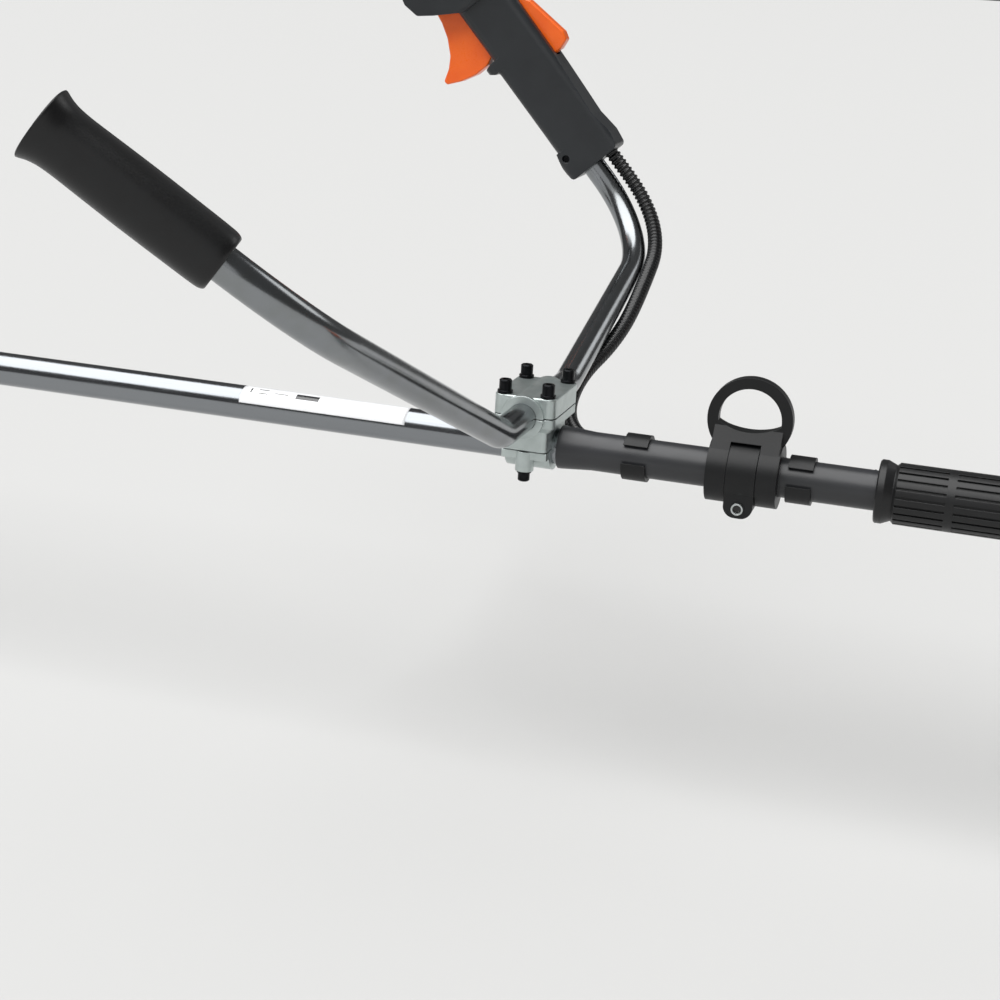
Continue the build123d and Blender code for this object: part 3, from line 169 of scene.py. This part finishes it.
METAL_IOR = 1.5            # the shader's default, kept for metals
PLASTIC_IOR = 1.49
RUBBER_IOR = 1.52
POLYETHYLENE_IOR = 1.51
SOCKET_RADIUS = 2.95 * MM

# The wave texture repeats at this distance at scale 1, and the cord's strands at the second
# one, both in the cord's UV units of ten millimetres.
WAVE_REPEAT = math.pi / 10
STRAND_REPEAT = 0.01131

# Each printed bar of a label: start and end along it, then bottom and top round it, as shares.
PRINTED_BARS = (
    (0.05, 0.06, 0.40, 0.62), (0.10, 0.16, 0.40, 0.44), (0.10, 0.16, 0.58, 0.62),
    (0.20, 0.28, 0.47, 0.51), (0.33, 0.47, 0.38, 0.62), (0.52, 0.95, 0.50, 0.515),
)


def drawn_aluminium():
    """Drawn 6060 tube, brightened in an acid bath: faint die lines run along it, so its
    highlight is a long sharp band with a slightly streaked edge."""
    return surface("drawn_aluminium", "#8C8F92", "#86898C", "#B4B7BA", 1.0, 0.19, METAL_IOR,
                   0.8, 0.012, mottle=30, edge=0.3, stretch=(0.02, 1, 1), rough_spread=0.10)


def bent_aluminium():
    """The same tube after cold bending: the bright skin stretches, so the sheen is
    cloudier and the lines are lost."""
    return surface("bent_aluminium", "#8A8D90", "#858889", "#B4B7BA", 1.0, 0.20, METAL_IOR,
                   0.5, 0.010, mottle=14, edge=0.3, rough_spread=0.10)


def die_cast_clamp():
    """Die-cast zinc-aluminium, tumbled and clear sealed: pale, slightly green grey with an
    even matte sparkle and brighter rubbed edges."""
    return surface("die_cast_clamp", "#BBC4C2", "#B0B9B7", "#E0E5E5", 0.85, 0.36, METAL_IOR,
                   0.7, 0.05, mottle=9, edge=0.8)


def black_oxide_steel():
    """Cold-headed alloy steel, blackened and oiled: near black with a soft oily sheen."""
    return surface("black_oxide_steel", "#1C1D1F", "#131416", "#4A4B4E", 0.9, 0.34, METAL_IOR,
                   0.4, 0.02, mottle=4, edge=0.35)


def ground_steel():
    """Turned and ground carbon steel: bright grey with fine turning marks."""
    return surface("ground_steel", "#A9ACB0", "#989CA1", "#CDD0D3", 1.0, 0.3, METAL_IOR,
                   0.35, 0.02, mottle=8, edge=0.3)


def zinc_screw_painted_socket_shade():
    """Barrel-plated zinc, clear passivated: bluish bright with small cloudy patches. Its wide socket is
    painted near black and not metallic, as painted shade of the recess, so that only the rim of its head
    shows as a bright ring."""
    material = surface("zinc_screw_painted_socket_shade", "#C4C8CA", "#B2B7B4", "#E2E5E6", 1.0, 0.3, METAL_IOR,
                       0.5, 0.02, mottle=3, edge=0.25)
    tree = material.node_tree
    low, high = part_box("harness_screw")
    axis = Vector(((low[0] + high[0]) / 2, 0, (low[2] + high[2]) / 2))
    place = add(tree, "ShaderNodeTexCoord").outputs["Object"]
    flat = add(tree, "ShaderNodeVectorMath", {"operation": "MULTIPLY", 1: (1, 0, 1)}, {0: place})
    out = add(tree, "ShaderNodeVectorMath", {"operation": "DISTANCE", 1: axis}, {0: flat.outputs[0]})
    # Inside the socket radius the colour turns near black and not metallic: painted shade of the recess.
    inside = add(tree, "ShaderNodeMath", {"operation": "LESS_THAN", 1: SOCKET_RADIUS},
                 {0: out.outputs["Value"]})
    outside_socket = add(tree, "ShaderNodeMath", {"operation": "SUBTRACT", 0: 1.0}, {1: inside.outputs[0]})
    bsdf = shader_of(material)
    metal = bsdf.inputs["Base Color"].links[0].from_socket
    shown = add(tree, "ShaderNodeMix", {"data_type": "RGBA", 7: linear("#131211")},
                {"Factor": inside.outputs[0], 6: metal})
    tree.links.new(shown.outputs[2], bsdf.inputs["Base Color"])
    tree.links.new(outside_socket.outputs[0], bsdf.inputs["Metallic"])
    return material


def cast_alloy():
    """Pressure-cast engine alloy, shot blasted: mid grey with a coarse matte skin."""
    return surface("cast_alloy", "#8D9092", "#7E8285", "#B5B8BA", 0.9, 0.48, METAL_IOR,
                   0.9, 0.09, mottle=16, edge=0.7)


def extruded_sleeve():
    """Extruded soft vinyl tube, shrunk on: charcoal, satin and slightly wavy, so the
    highlight along it is wide and soft."""
    return surface("extruded_sleeve", "#2C2D30", "#262729", "#47494C", 0.0, 0.36, PLASTIC_IOR,
                   6.0, 0.10, mottle=30, edge=0.5, stretch=(0.4, 1, 1))


def black_nylon():
    """Glass-filled nylon moulded in a spark-eroded tool: deep black, finely pitted and
    semi-matte, greyer where edges have been rubbed."""
    return surface("black_nylon", "#0F1011", "#0B0C0D", "#343537", 0.0, 0.42, PLASTIC_IOR,
                   0.55, 0.05, mottle=18, edge=0.6, shader={"Specular IOR Level": 0.32})


def charcoal_polypropylene():
    """Impact polypropylene moulded in a fine-etched tool: dark bluish charcoal with a
    satin skin and a soft broad highlight."""
    return surface("charcoal_polypropylene", "#202326", "#1B1E21", "#45494D", 0.0, 0.38, PLASTIC_IOR,
                   0.5, 0.04, mottle=26, edge=1.4)


def orange_abs():
    """ABS coloured in the mass and moulded in a polished tool: saturated orange, semi-gloss,
    a little paler where it wears, with slight light scatter under the skin."""
    return surface("orange_abs", "#F96A0E", "#F26107", "#FF9A55", 0.0, 0.30, PLASTIC_IOR,
                   0.9, 0.02, mottle=24, edge=0.7,
                   shader={"Subsurface Weight": 0.06, "Subsurface Scale": 0.002, "Coat Weight": 0.15,
                           "Coat Roughness": 0.25})


def moulded_rubber():
    """Compression-moulded black rubber: dull, with a broad pale highlight on rounded
    shoulders and fine powdery mottling."""
    return surface("moulded_rubber", "#0D0E0F", "#0A0A0B", "#252627", 0.0, 0.38, RUBBER_IOR,
                   0.8, 0.03, mottle=12, edge=0.8, rough_spread=0.12,
                   shader={"Specular IOR Level": 0.36, "Sheen Weight": 0.03, "Sheen Roughness": 0.5})


def blow_moulded_polyethylene():
    """Blow-moulded natural polyethylene: milky, waxy and slightly see-through."""
    return surface("blow_moulded_polyethylene", "#DEDCD2", "#D3D0C4", "#ECEBE4", 0.0, 0.44,
                   POLYETHYLENE_IOR, 1.4, 0.05, mottle=26, edge=1.0,
                   shader={"Subsurface Weight": 0.5, "Subsurface Scale": 0.012,
                           "Transmission Weight": 0.12})


def extruded_nylon_line():
    """Extruded monofilament, dyed in the mass: bright orange and slightly clear."""
    return surface("extruded_nylon_line", "#F07A22", "#E86D15", "#F9A766", 0.0, 0.26, 1.53,
                   1.2, 0.01, mottle=10, edge=0.1, shader={"Transmission Weight": 0.25})


def heat_proof_enamel():
    """Sheet steel in baked silicone enamel: dull black that heat has turned brownish in
    patches, with bare metal at the pressed edges."""
    return surface("heat_proof_enamel", "#242322", "#332B26", "#6B6864", 0.35, 0.58, METAL_IOR,
                   0.7, 0.05, mottle=20, edge=0.8)


def corrugated_polyethylene():
    """Extruded and roller-corrugated polyethylene: glossy black crests that catch small
    separate glints."""
    return surface("corrugated_polyethylene", "#121314", "#0D0E0F", "#2B2C2E", 0.0, 0.27,
                   POLYETHYLENE_IOR, 0.7, 0.015, mottle=15, edge=0.2)


def braided_cord():
    """Braided polyester cord: pale strands that cross in a very fine diamond weave, so that
    the cord looks evenly matte from a step away."""
    material = surface("braided_cord", "#C9C8C2", "#B9B8B1", "#DAD9D4", 0.0, 0.72, 1.5,
                       0.3, 0.04, mottle=3, edge=0.1, shader={"Sheen Weight": 0.3})
    tree = material.node_tree
    place = add(tree, "ShaderNodeTexCoord").outputs["UV"]
    heights = []
    for lean in (-1, 1):
        turned = add(tree, "ShaderNodeMapping", {"Rotation": (0, 0, lean * math.radians(45))},
                     {"Vector": place})
        strands = add(tree, "ShaderNodeTexWave", {"Scale": WAVE_REPEAT / STRAND_REPEAT, "Distortion": 0.3},
                      {"Vector": turned.outputs[0]})
        heights.append(strands.outputs["Fac"])
    weave = add(tree, "ShaderNodeMath", {"operation": "MAXIMUM"}, {0: heights[0], 1: heights[1]})
    bsdf = shader_of(material)
    skin = next(node for node in tree.nodes if node.type == "BUMP")
    bump = add(tree, "ShaderNodeBump", {"Strength": 0.8, "Distance": 0.3 * MM},
               {"Height": weave.outputs[0], "Normal": skin.outputs[0]})
    tree.links.new(bump.outputs[0], bsdf.inputs["Normal"])
    return material


def joined(tree, operation, so_far, new):
    """Two masks joined by that operation, or the new one alone when it is the first."""
    if so_far is None:
        return new
    return add(tree, "ShaderNodeMath", {"operation": operation}, {0: so_far, 1: new}).outputs[0]


def printed_polyester():
    """White polyester label film, screen printed with plain bars and no words: smooth,
    glossy and a little brighter than the tube under it."""
    material = surface("printed_polyester", "#ECEDEE", "#E6E7E9", "#F6F6F6", 0.0, 0.22, 1.57,
                       2.0, 0.01, mottle=20, edge=0.1, shader={"Coat Weight": 0.3})
    tree = material.node_tree
    place = add(tree, "ShaderNodeTexCoord").outputs["UV"]
    along = add(tree, "ShaderNodeSeparateXYZ", None, {"Vector": place})
    ink = None
    for low, high, bottom, top in PRINTED_BARS:
        mask = None
        for axis, edge_at, test in ((0, low, "GREATER_THAN"), (0, high, "LESS_THAN"),
                                    (1, bottom, "GREATER_THAN"), (1, top, "LESS_THAN")):
            side = add(tree, "ShaderNodeMath", {"operation": test, 1: edge_at}, {0: along.outputs[axis]})
            mask = joined(tree, "MULTIPLY", mask, side.outputs[0])
        ink = joined(tree, "MAXIMUM", ink, mask)
    bsdf = shader_of(material)
    film = bsdf.inputs["Base Color"].links[0].from_socket
    shown = add(tree, "ShaderNodeMix", {"data_type": "RGBA", 7: linear("#1B1C1E")},
                {"Factor": ink, 6: film})
    tree.links.new(shown.outputs[2], bsdf.inputs["Base Color"])
    return material


CAD_FINISHES = (
    (drawn_aluminium, ("drive_tube",)),
    (bent_aluminium, ("handlebar_tube",)),
    (die_cast_clamp, ("clamp_cap", "clamp_block", "clamp_lower")),
    (black_oxide_steel, ("cap_screws", "lower_screws", "control_screws", "housing_screws")),
    (ground_steel, ("drive_shaft", "drive_pinion", "bevel_gear", "output_spindle", "ball_bearings",
                    "line_blade", "thrust_plate", "line_eyelets", "spool_spring", "clutch_drum",
                    "clutch_shoes", "crankshaft", "control_pins")),
    (zinc_screw_painted_socket_shade, ("harness_screw",)),
    (cast_alloy, ("gear_housing", "clutch_housing", "fan_housing", "crankcase", "cylinder",
                  "carburettor", "flywheel")),
    (extruded_sleeve, ("tube_sleeve",)),
    (black_nylon, ("harness_carrier", "harness_strap", "cable_clips", "deflector", "head_body",
                   "bump_knob", "air_filter_cover", "choke_lever", "starter_cover", "starter_grip",
                   "fuel_cap", "tank_guard")),
    (charcoal_polypropylene, ("control_shell_right", "control_shell_left")),
    (orange_abs, ("throttle_trigger", "throttle_lockout", "stop_switch", "head_cover", "engine_shroud")),
    (moulded_rubber, ("ribbed_sleeve", "spark_plug", "shaft_bushes")),
    (blow_moulded_polyethylene, ("fuel_tank", "line_spool")),
    (extruded_nylon_line, ("cutting_lines",)),
    (heat_proof_enamel, ("muffler",)),
)


# --- mesh helpers ---------------------------------------------------------------------

def smooth_line(points):
    """The points of the smooth spline that has a route's points as its control points."""
    curve = bpy.data.curves.new("route", "CURVE")
    curve.dimensions = "3D"
    spline = curve.splines.new("NURBS")
    spline.points.add(len(points) - 1)
    for control, point in zip(spline.points, points):
        control.co = (*point, 1.0)
    spline.order_u = 3
    spline.use_endpoint_u = True
    spline.resolution_u = 48
    line = bpy.data.meshes.new_from_object(bpy.data.objects.new("route", curve))
    return [v.co.copy() for v in line.vertices]


def evenly(points, step):
    """Points at an even step along a line of points, with both ends kept."""
    corners = np.array([list(p) for p in points])
    lengths = np.concatenate([[0], np.cumsum(np.linalg.norm(np.diff(corners, axis=0), axis=1))])
    count = max(2, round(lengths[-1] / step))
    at = np.linspace(0, lengths[-1], count + 1)
    return [Vector([float(np.interp(d, lengths, corners[:, k])) for k in range(3)]) for d in at]


def skin_faces(rings, around):
    """The faces of a closed skin over that many rings of vertices, with both ends filled."""
    faces = []
    for ring in range(rings - 1):
        a, b = ring * around, (ring + 1) * around
        faces += [(a + k, a + (k + 1) % around, b + (k + 1) % around, b + k) for k in range(around)]
    faces.append(tuple(reversed(range(around))))
    faces.append(tuple((rings - 1) * around + k for k in range(around)))
    return faces


def smooth_piece(name, verts, faces):
    """A new smooth-shaded piece in the scene."""
    mesh = bpy.data.meshes.new(name)
    mesh.from_pydata(verts, [], faces)
    mesh.shade_smooth()
    piece = bpy.data.objects.new(name, mesh)
    bpy.context.collection.objects.link(piece)
    return piece


def swept(name, path, radii, around):
    """A tube piece along a path, one ring at each point with its own radius. Its UV runs
    along the length and round the tube, in tens of millimetres."""
    runs_off_y = abs((path[1] - path[0]).normalized().y) < 0.9
    side = Vector((0, 1, 0)) if runs_off_y else Vector((1, 0, 0))
    travelled = 0.0
    verts, uv_along = [], []
    for i, (here, radius) in enumerate(zip(path, radii)):
        ahead = (path[min(i + 1, len(path) - 1)] - path[max(i - 1, 0)]).normalized()
        side = (side - ahead * side.dot(ahead)).normalized()
        up = ahead.cross(side)
        travelled += (here - path[i - 1]).length if i else 0.0
        uv_along.append(travelled)
        for k in range(around):
            turn = 2 * math.pi * k / around
            verts.append(here + (side * math.cos(turn) + up * math.sin(turn)) * radius)
    piece = smooth_piece(name, verts, skin_faces(len(path), around))
    mesh = piece.data
    layer = mesh.uv_layers.new(name="wrap")
    for polygon in mesh.polygons:
        for place, loop in enumerate(polygon.loop_indices):
            index = mesh.loops[loop].vertex_index
            ring, k = divmod(index, around)
            share = k / around
            if len(polygon.vertices) == 4 and k == 0 and place in (1, 2):
                share = 1.0
            layer.data[loop].uv = (uv_along[ring] * 100, share * 2 * math.pi * radii[ring] * 100)
    return piece


def lofted(name, place, stations, around, power):
    """A closed piece through flattened round sections. Each station is distance along, half
    width across and half width high, in millimetres, and place sets them in the row. A power
    above 2 squares the sections."""
    verts = []
    for along, across, high in stations:
        for k in range(around):
            turn = 2 * math.pi * k / around
            x, y = math.cos(turn), math.sin(turn)
            swell = (abs(x) ** power + abs(y) ** power) ** (-1 / power)
            point = Vector((x * swell * across, y * swell * high, along))
            verts.append(place @ (point * MM))
    return smooth_piece(name, verts, skin_faces(len(stations), around))


def smooth_stations(stations, parts):
    """More stations between the given ones, on a curve that never overshoots them."""
    table = np.array(stations, float)
    fine = np.linspace(0, len(table) - 1, (len(table) - 1) * parts + 1)
    slopes = np.diff(table, axis=0)
    tangents = np.zeros_like(table)
    for i in range(1, len(table) - 1):
        before, after = slopes[i - 1], slopes[i]
        same = before * after > 0
        tangents[i] = np.where(same, 2 * before * after / np.where(same, before + after, 1), 0)
    tangents[0], tangents[-1] = slopes[0], slopes[-1]
    out = []
    for f in fine:
        i = min(int(f), len(table) - 2)
        t = f - i
        h00, h10 = 2 * t ** 3 - 3 * t ** 2 + 1, t ** 3 - 2 * t ** 2 + t
        h01, h11 = -2 * t ** 3 + 3 * t ** 2, t ** 3 - t ** 2
        out.append(h00 * table[i] + h10 * tangents[i] + h01 * table[i + 1] + h11 * tangents[i + 1])
    return out


def long_axis(node):
    """(middle, direction) of a long straight node, from the spread of its vertices."""
    points = np.array([v.co[:] for v in node.data.vertices])
    middle = points.mean(axis=0)
    directions = np.linalg.svd(points - middle, full_matrices=False)[2]
    return Vector(middle), Vector(directions[0]).normalized()


def wear(piece, material):
    """Put a finish on a new piece."""
    piece.data.materials.append(material)
    return piece


# --- sizes and colours that a user would change ------------------------------------------

class ConduitSettings(bpy.types.PropertyGroup):
    """Sizes of the corrugated throttle conduit."""
    pitch: FloatProperty(name="Pitch", description="Distance from one crest to the next",
                         default=4.1 * MM, unit="LENGTH")
    depth: FloatProperty(name="Depth", description="Depth of the grooves between crests",
                         default=1.3 * MM, unit="LENGTH")
    radius: FloatProperty(name="Radius", description="Outer radius over the crests",
                          default=6.25 * MM, unit="LENGTH")
    around: IntProperty(name="Segments", description="Faces round the conduit", default=28, min=8)


class LabelSettings(bpy.types.PropertyGroup):
    """Sizes of the plain printed label on the drive tube."""
    start: FloatProperty(name="Start", description="Rear edge, ahead of the clamp's front face",
                         default=71 * MM, unit="LENGTH")
    length: FloatProperty(name="Length", description="Length along the tube",
                          default=129.9 * MM, unit="LENGTH")
    wrap: FloatProperty(name="Wrap", description="Angle that the film covers round the tube",
                        default=math.radians(100), subtype="ANGLE")
    middle: FloatProperty(name="Middle", description="Angle from the left side up to the film's middle",
                          default=math.radians(64), subtype="ANGLE")


class RopeSettings(bpy.types.PropertyGroup):
    """Sizes of the starter rope."""
    radius: FloatProperty(name="Radius", description="Radius over the braid",
                          default=1.75 * MM, unit="LENGTH")


class SpringSettings(bpy.types.PropertyGroup):
    """Sizes of the conical spring over the bump knob."""
    turns: FloatProperty(name="Turns", description="Number of turns", default=3.5, min=1.0)
    wire: FloatProperty(name="Wire", description="Radius of the wire", default=0.45 * MM, unit="LENGTH")
    narrow: FloatProperty(name="Narrow", description="Coil radius at the top",
                          default=9.0 * MM, unit="LENGTH")
    wide: FloatProperty(name="Wide", description="Coil radius at the knob",
                        default=11.2 * MM, unit="LENGTH")


class StageSettings(bpy.types.PropertyGroup):
    """The camera, the lights and the floor."""
    camera_at: FloatVectorProperty(name="Camera", description="Where the camera stands",
                                   default=(-0.1574, 1.1114, 0.2747), subtype="TRANSLATION",
                                   unit="LENGTH")
    camera_ahead: FloatVectorProperty(name="Ahead", description="Direction the camera looks in",
                                      default=(0.27184, -0.91429, -0.30029), subtype="DIRECTION")
    camera_up: FloatVectorProperty(name="Up", description="Direction of the picture's upper edge",
                                   default=(0.14290, -0.27023, 0.95213), subtype="DIRECTION")
    lens: FloatProperty(name="Lens", description="Focal length on a 36 mm sensor", default=60.94, min=1.0)
    floor_colour: StringProperty(name="Floor", description="Floor colour as an sRGB hex value",
                                 default="#C1C1C0")
    sky: FloatProperty(name="Sky", description="Strength of the even light from all sides",
                       default=0.12, min=0.0)


GROUPS = {
    "trimmer_conduit": ConduitSettings,
    "trimmer_label": LabelSettings,
    "trimmer_rope": RopeSettings,
    "trimmer_spring": SpringSettings,
    "trimmer_stage": StageSettings,
}


# --- operators ----------------------------------------------------------------------------

class TRIMMER_OT_cad_finishes(bpy.types.Operator):
    """Give every CAD node its real finish."""
    bl_idname = "trimmer.cad_finishes"
    bl_label = "Finish CAD Nodes"

    def execute(self, context):
        for make, names in CAD_FINISHES:
            material = make()
            for name in names:
                node = NODES[name]
                node.data.materials.clear()
                node.data.materials.append(material)
        return {"FINISHED"}


class TRIMMER_OT_conduit(bpy.types.Operator):
    """Make the corrugated throttle conduit along its route."""
    bl_idname = "trimmer.conduit"
    bl_label = "Corrugated Conduit"

    # From inside the control handle, down behind the bar, under it, and back beside the tube.
    # The second point and the two inner ones of the straight run by the clips keep it straight.
    route = (
        (0.2236, -0.3402, 0.1613), (0.2156, -0.3405, 0.1524), (0.1397, -0.3434, 0.0673),
        (0.1348, -0.2220, 0.0161), (0.1410, -0.1770, -0.0063), (0.1540, -0.1320, -0.0240),
        (0.1510, -0.0840, -0.0410), (0.1290, -0.0370, -0.0475), (0.1010, -0.02045, -0.0445),
        (0.0683, -0.02045, -0.0445), (-0.0316, -0.02045, -0.0445), (-0.0610, -0.02045, -0.0445),
        (-0.0890, -0.0293, -0.0437), (-0.1390, -0.0315, -0.0455), (-0.1840, -0.0300, -0.0435),
        (-0.2210, -0.0305, -0.0375), (-0.2530, -0.0360, -0.0235), (-0.2770, -0.0350, 0.0025),
        (-0.2990, -0.0180, 0.0205), (-0.3260, -0.0140, 0.0220),
    )

    def execute(self, context):
        sizes = context.scene.trimmer_conduit
        low = sizes.radius - sizes.depth
        flank = low + sizes.depth * 0.55
        profile = (low, flank, sizes.radius, sizes.radius, flank, low)
        path = evenly(smooth_line(self.route), sizes.pitch / len(profile))
        radii = [profile[i % len(profile)] for i in range(len(path))]
        piece = swept("throttle_conduit", path, radii, sizes.around)
        wear(piece, corrugated_polyethylene())
        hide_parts("cable_conduit")
        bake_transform(piece)
        return {"FINISHED"}


class TRIMMER_OT_left_grip(bpy.types.Operator):
    """Make the moulded left grip with its flared outer end."""
    bl_idname = "trimmer.left_grip"
    bl_label = "Left Grip"

    # Distance from the tip, half width across, half width high, in millimetres.
    stations = (
        (0.3, 13.0, 13.0), (0.0, 18.6, 18.6), (0.2, 19.4, 19.4), (0.7, 19.8, 19.8),
        (1.6, 19.6, 19.6), (3.6, 18.8, 18.8), (7.0, 17.9, 17.7), (12.0, 17.2, 16.9),
        (20.0, 17.0, 16.6), (40.0, 17.3, 16.9), (62.0, 17.5, 17.1), (84.0, 17.4, 17.0),
        (98.0, 17.2, 16.9), (104.0, 16.9, 16.7), (107.2, 16.1, 15.9), (108.4, 14.6, 14.4),
        (108.4, 10.6, 10.6),
    )

    def execute(self, context):
        node = NODES["left_grip"]
        middle, inward = long_axis(node)
        to_clamp = Vector(JOINTS["handlebar_tilt"]["pos_m"]) - middle
        if inward.dot(to_clamp) < 0:
            inward = -inward
        reach = [(v.co - middle).dot(inward) for v in node.data.vertices]
        tip = middle + inward * min(reach)
        across = Vector((0, 0, 1)).cross(inward).normalized()
        high = inward.cross(across)
        place = Matrix((across, high, inward)).transposed().to_4x4()
        place.translation = tip
        around, squareness = 72, 2.35
        piece = lofted("rubber_grip", place, smooth_stations(self.stations, 5), around, squareness)
        wear(piece, moulded_rubber())
        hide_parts("left_grip")
        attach(piece, "handlebar")
        return {"FINISHED"}


class TRIMMER_OT_label(bpy.types.Operator):
    """Lay the printed label film on the drive tube."""
    bl_idname = "trimmer.label"
    bl_label = "Tube Label"

    def execute(self, context):
        sizes = context.scene.trimmer_label
        glue, thickness = 0.12 * MM, 0.1 * MM
        low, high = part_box("drive_tube")
        centre_y, centre_z = (low[1] + high[1]) / 2, (low[2] + high[2]) / 2
        radius = (high[2] - low[2]) / 2 + glue
        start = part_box("clamp_cap")[1][0] + sizes.start
        steps, columns = 48, 40
        verts, faces, uvs = [], [], []
        for i in range(columns + 1):
            for k in range(steps + 1):
                turn = sizes.middle + sizes.wrap * (k / steps - 0.5)
                verts.append((start + sizes.length * i / columns,
                              centre_y + radius * math.cos(turn), centre_z + radius * math.sin(turn)))
                uvs.append((1 - i / columns, k / steps))
        row = steps + 1
        for i in range(columns):
            a, b = i * row, (i + 1) * row
            faces += [(a + k, b + k, b + k + 1, a + k + 1) for k in range(steps)]
        piece = smooth_piece("tube_label", verts, faces)
        layer = piece.data.uv_layers.new(name="film")
        for loop in piece.data.loops:
            layer.data[loop.index].uv = uvs[loop.vertex_index]
        film = piece.modifiers.new("film", "SOLIDIFY")
        film.thickness = thickness
        film.offset = 1.0
        wear(piece, printed_polyester())
        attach(piece, "root")
        return {"FINISHED"}


class TRIMMER_OT_rope(bpy.types.Operator):
    """Make the braided starter rope between its spout and its handle."""
    bl_idname = "trimmer.rope"
    bl_label = "Starter Rope"

    def execute(self, context):
        sizes = context.scene.trimmer_rope
        step, around = 0.5 * MM, 20
        middle, _ = long_axis(NODES["starter_rope"])
        out = Vector(JOINTS["starter_pull"]["axis"]).normalized()
        reach = [(v.co - middle).dot(out) for v in NODES["starter_rope"].data.vertices]
        inner, outer = middle + out * min(reach), middle + out * max(reach)
        path = evenly([inner, outer], step)
        piece = swept("braided_rope", path, [sizes.radius] * len(path), around)
        wear(piece, braided_cord())
        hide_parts("starter_rope")
        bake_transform(piece)
        return {"FINISHED"}


class TRIMMER_OT_spring(bpy.types.Operator):
    """Make the conical spring that pushes the bump knob down."""
    bl_idname = "trimmer.spring"
    bl_label = "Bump Spring"

    def execute(self, context):
        sizes = context.scene.trimmer_spring
        steps_in_turn, around, flattened = 40, 10, 0.1
        up = Vector(JOINTS["bump_press"]["axis"]).normalized()
        on_axis = Vector(JOINTS["head_spin"]["pos_m"])
        heights = [(v.co - on_axis).dot(up) for v in NODES["spool_spring"].data.vertices]
        top, low = max(heights) - sizes.wire, min(heights) + sizes.wire
        out = up.orthogonal().normalized()
        across = up.cross(out)
        steps = round(sizes.turns * steps_in_turn)
        path = []
        for i in range(steps + 1):
            share = i / steps
            turn = 2 * math.pi * sizes.turns * share
            radius = sizes.narrow + (sizes.wide - sizes.narrow) * share
            path.append(on_axis + up * (top + (low - top) * share)
                        + (out * math.cos(turn) + across * math.sin(turn)) * radius)
        piece = swept("conical_spring", path, [sizes.wire] * len(path), around)
        wear(piece, ground_steel())
        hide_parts("spool_spring")
        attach(piece, "cutting_head")
        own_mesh(piece)
        return {"FINISHED"}


class TRIMMER_OT_stage(bpy.types.Operator):
    """Set the floor, the soft lights and the camera."""
    bl_idname = "trimmer.stage"
    bl_label = "Stage"

    # Name, direction the light comes from, apparent size in degrees, and strength.
    lights = (
        ("key", (0.29, 0.25, 0.92), 76.0, 4.6),
        ("fill", (-0.3, 1.0, 0.35), 50.0, 0.35),
        ("rim", (-0.8, -1.0, 0.7), 24.0, 0.25),
    )

    def execute(self, context):
        sizes = context.scene.trimmer_stage
        below, wide = 0.05, 400.0
        low = CAD_BOX[0][2] - below
        bpy.ops.mesh.primitive_plane_add(size=wide, location=(0, 0, low))
        floor = context.object
        floor.name = "floor"
        paint = bpy.data.materials.new("matte_floor_paint")
        paint.use_nodes = True
        shader = paint.node_tree.nodes["Principled BSDF"]
        shader.inputs["Base Color"].default_value = linear(sizes.floor_colour)
        shader.inputs["Roughness"].default_value = 0.9
        floor.data.materials.append(paint)
        world = bpy.data.worlds.new("studio")
        world.use_nodes = True
        sky = world.node_tree.nodes["Background"]
        sky.inputs["Color"].default_value = (1, 1, 1, 1)
        sky.inputs["Strength"].default_value = sizes.sky
        context.scene.world = world
        for name, source, spread, strength in self.lights:
            lamp = bpy.data.lights.new(name, "SUN")
            lamp.angle = math.radians(spread)
            lamp.energy = strength
            holder = bpy.data.objects.new(name, lamp)
            holder.rotation_euler = Vector(source).to_track_quat("Z", "Y").to_euler()
            context.collection.objects.link(holder)
        camera = bpy.data.cameras.new("camera")
        camera.sensor_width = 36.0
        camera.lens = sizes.lens
        camera.clip_start = 0.01
        holder = bpy.data.objects.new("camera", camera)
        ahead, up = Vector(sizes.camera_ahead).normalized(), Vector(sizes.camera_up).normalized()
        right = ahead.cross(up)
        turn = Matrix((right, up, -ahead)).transposed().to_4x4()
        turn.translation = Vector(sizes.camera_at)
        holder.matrix_world = turn
        context.collection.objects.link(holder)
        context.scene.camera = holder
        context.scene.view_settings.view_transform = "Standard"
        return {"FINISHED"}


class TRIMMER_PT_panel(bpy.types.Panel):
    """Lists the trimmer's operators and their sizes."""
    bl_label = "String Trimmer"
    bl_idname = "TRIMMER_PT_panel"
    bl_space_type = "VIEW_3D"
    bl_region_type = "UI"
    bl_category = "Trimmer"

    def draw(self, context):
        for operator in OPERATORS:
            self.layout.operator(operator.bl_idname)
        for name, group in GROUPS.items():
            box = self.layout.box()
            for size in group.__annotations__:
                box.prop(getattr(context.scene, name), size)


OPERATORS = (
    TRIMMER_OT_cad_finishes, TRIMMER_OT_conduit, TRIMMER_OT_left_grip, TRIMMER_OT_label,
    TRIMMER_OT_rope, TRIMMER_OT_spring, TRIMMER_OT_stage,
)


def register():
    """Register every class and attach its settings to the scene."""
    for cls in (*GROUPS.values(), *OPERATORS, TRIMMER_PT_panel):
        bpy.utils.register_class(cls)
    for name, group in GROUPS.items():
        setattr(bpy.types.Scene, name, PointerProperty(type=group))


def unregister():
    """Take everything off again."""
    for name in GROUPS:
        delattr(bpy.types.Scene, name)
    for cls in reversed((*GROUPS.values(), *OPERATORS, TRIMMER_PT_panel)):
        bpy.utils.unregister_class(cls)


def main():
    """Run every operator in order."""
    register()
    for operator in OPERATORS:
        area, call = operator.bl_idname.split(".")
        getattr(getattr(bpy.ops, area), call)()


if __name__ == "__main__":
    main()
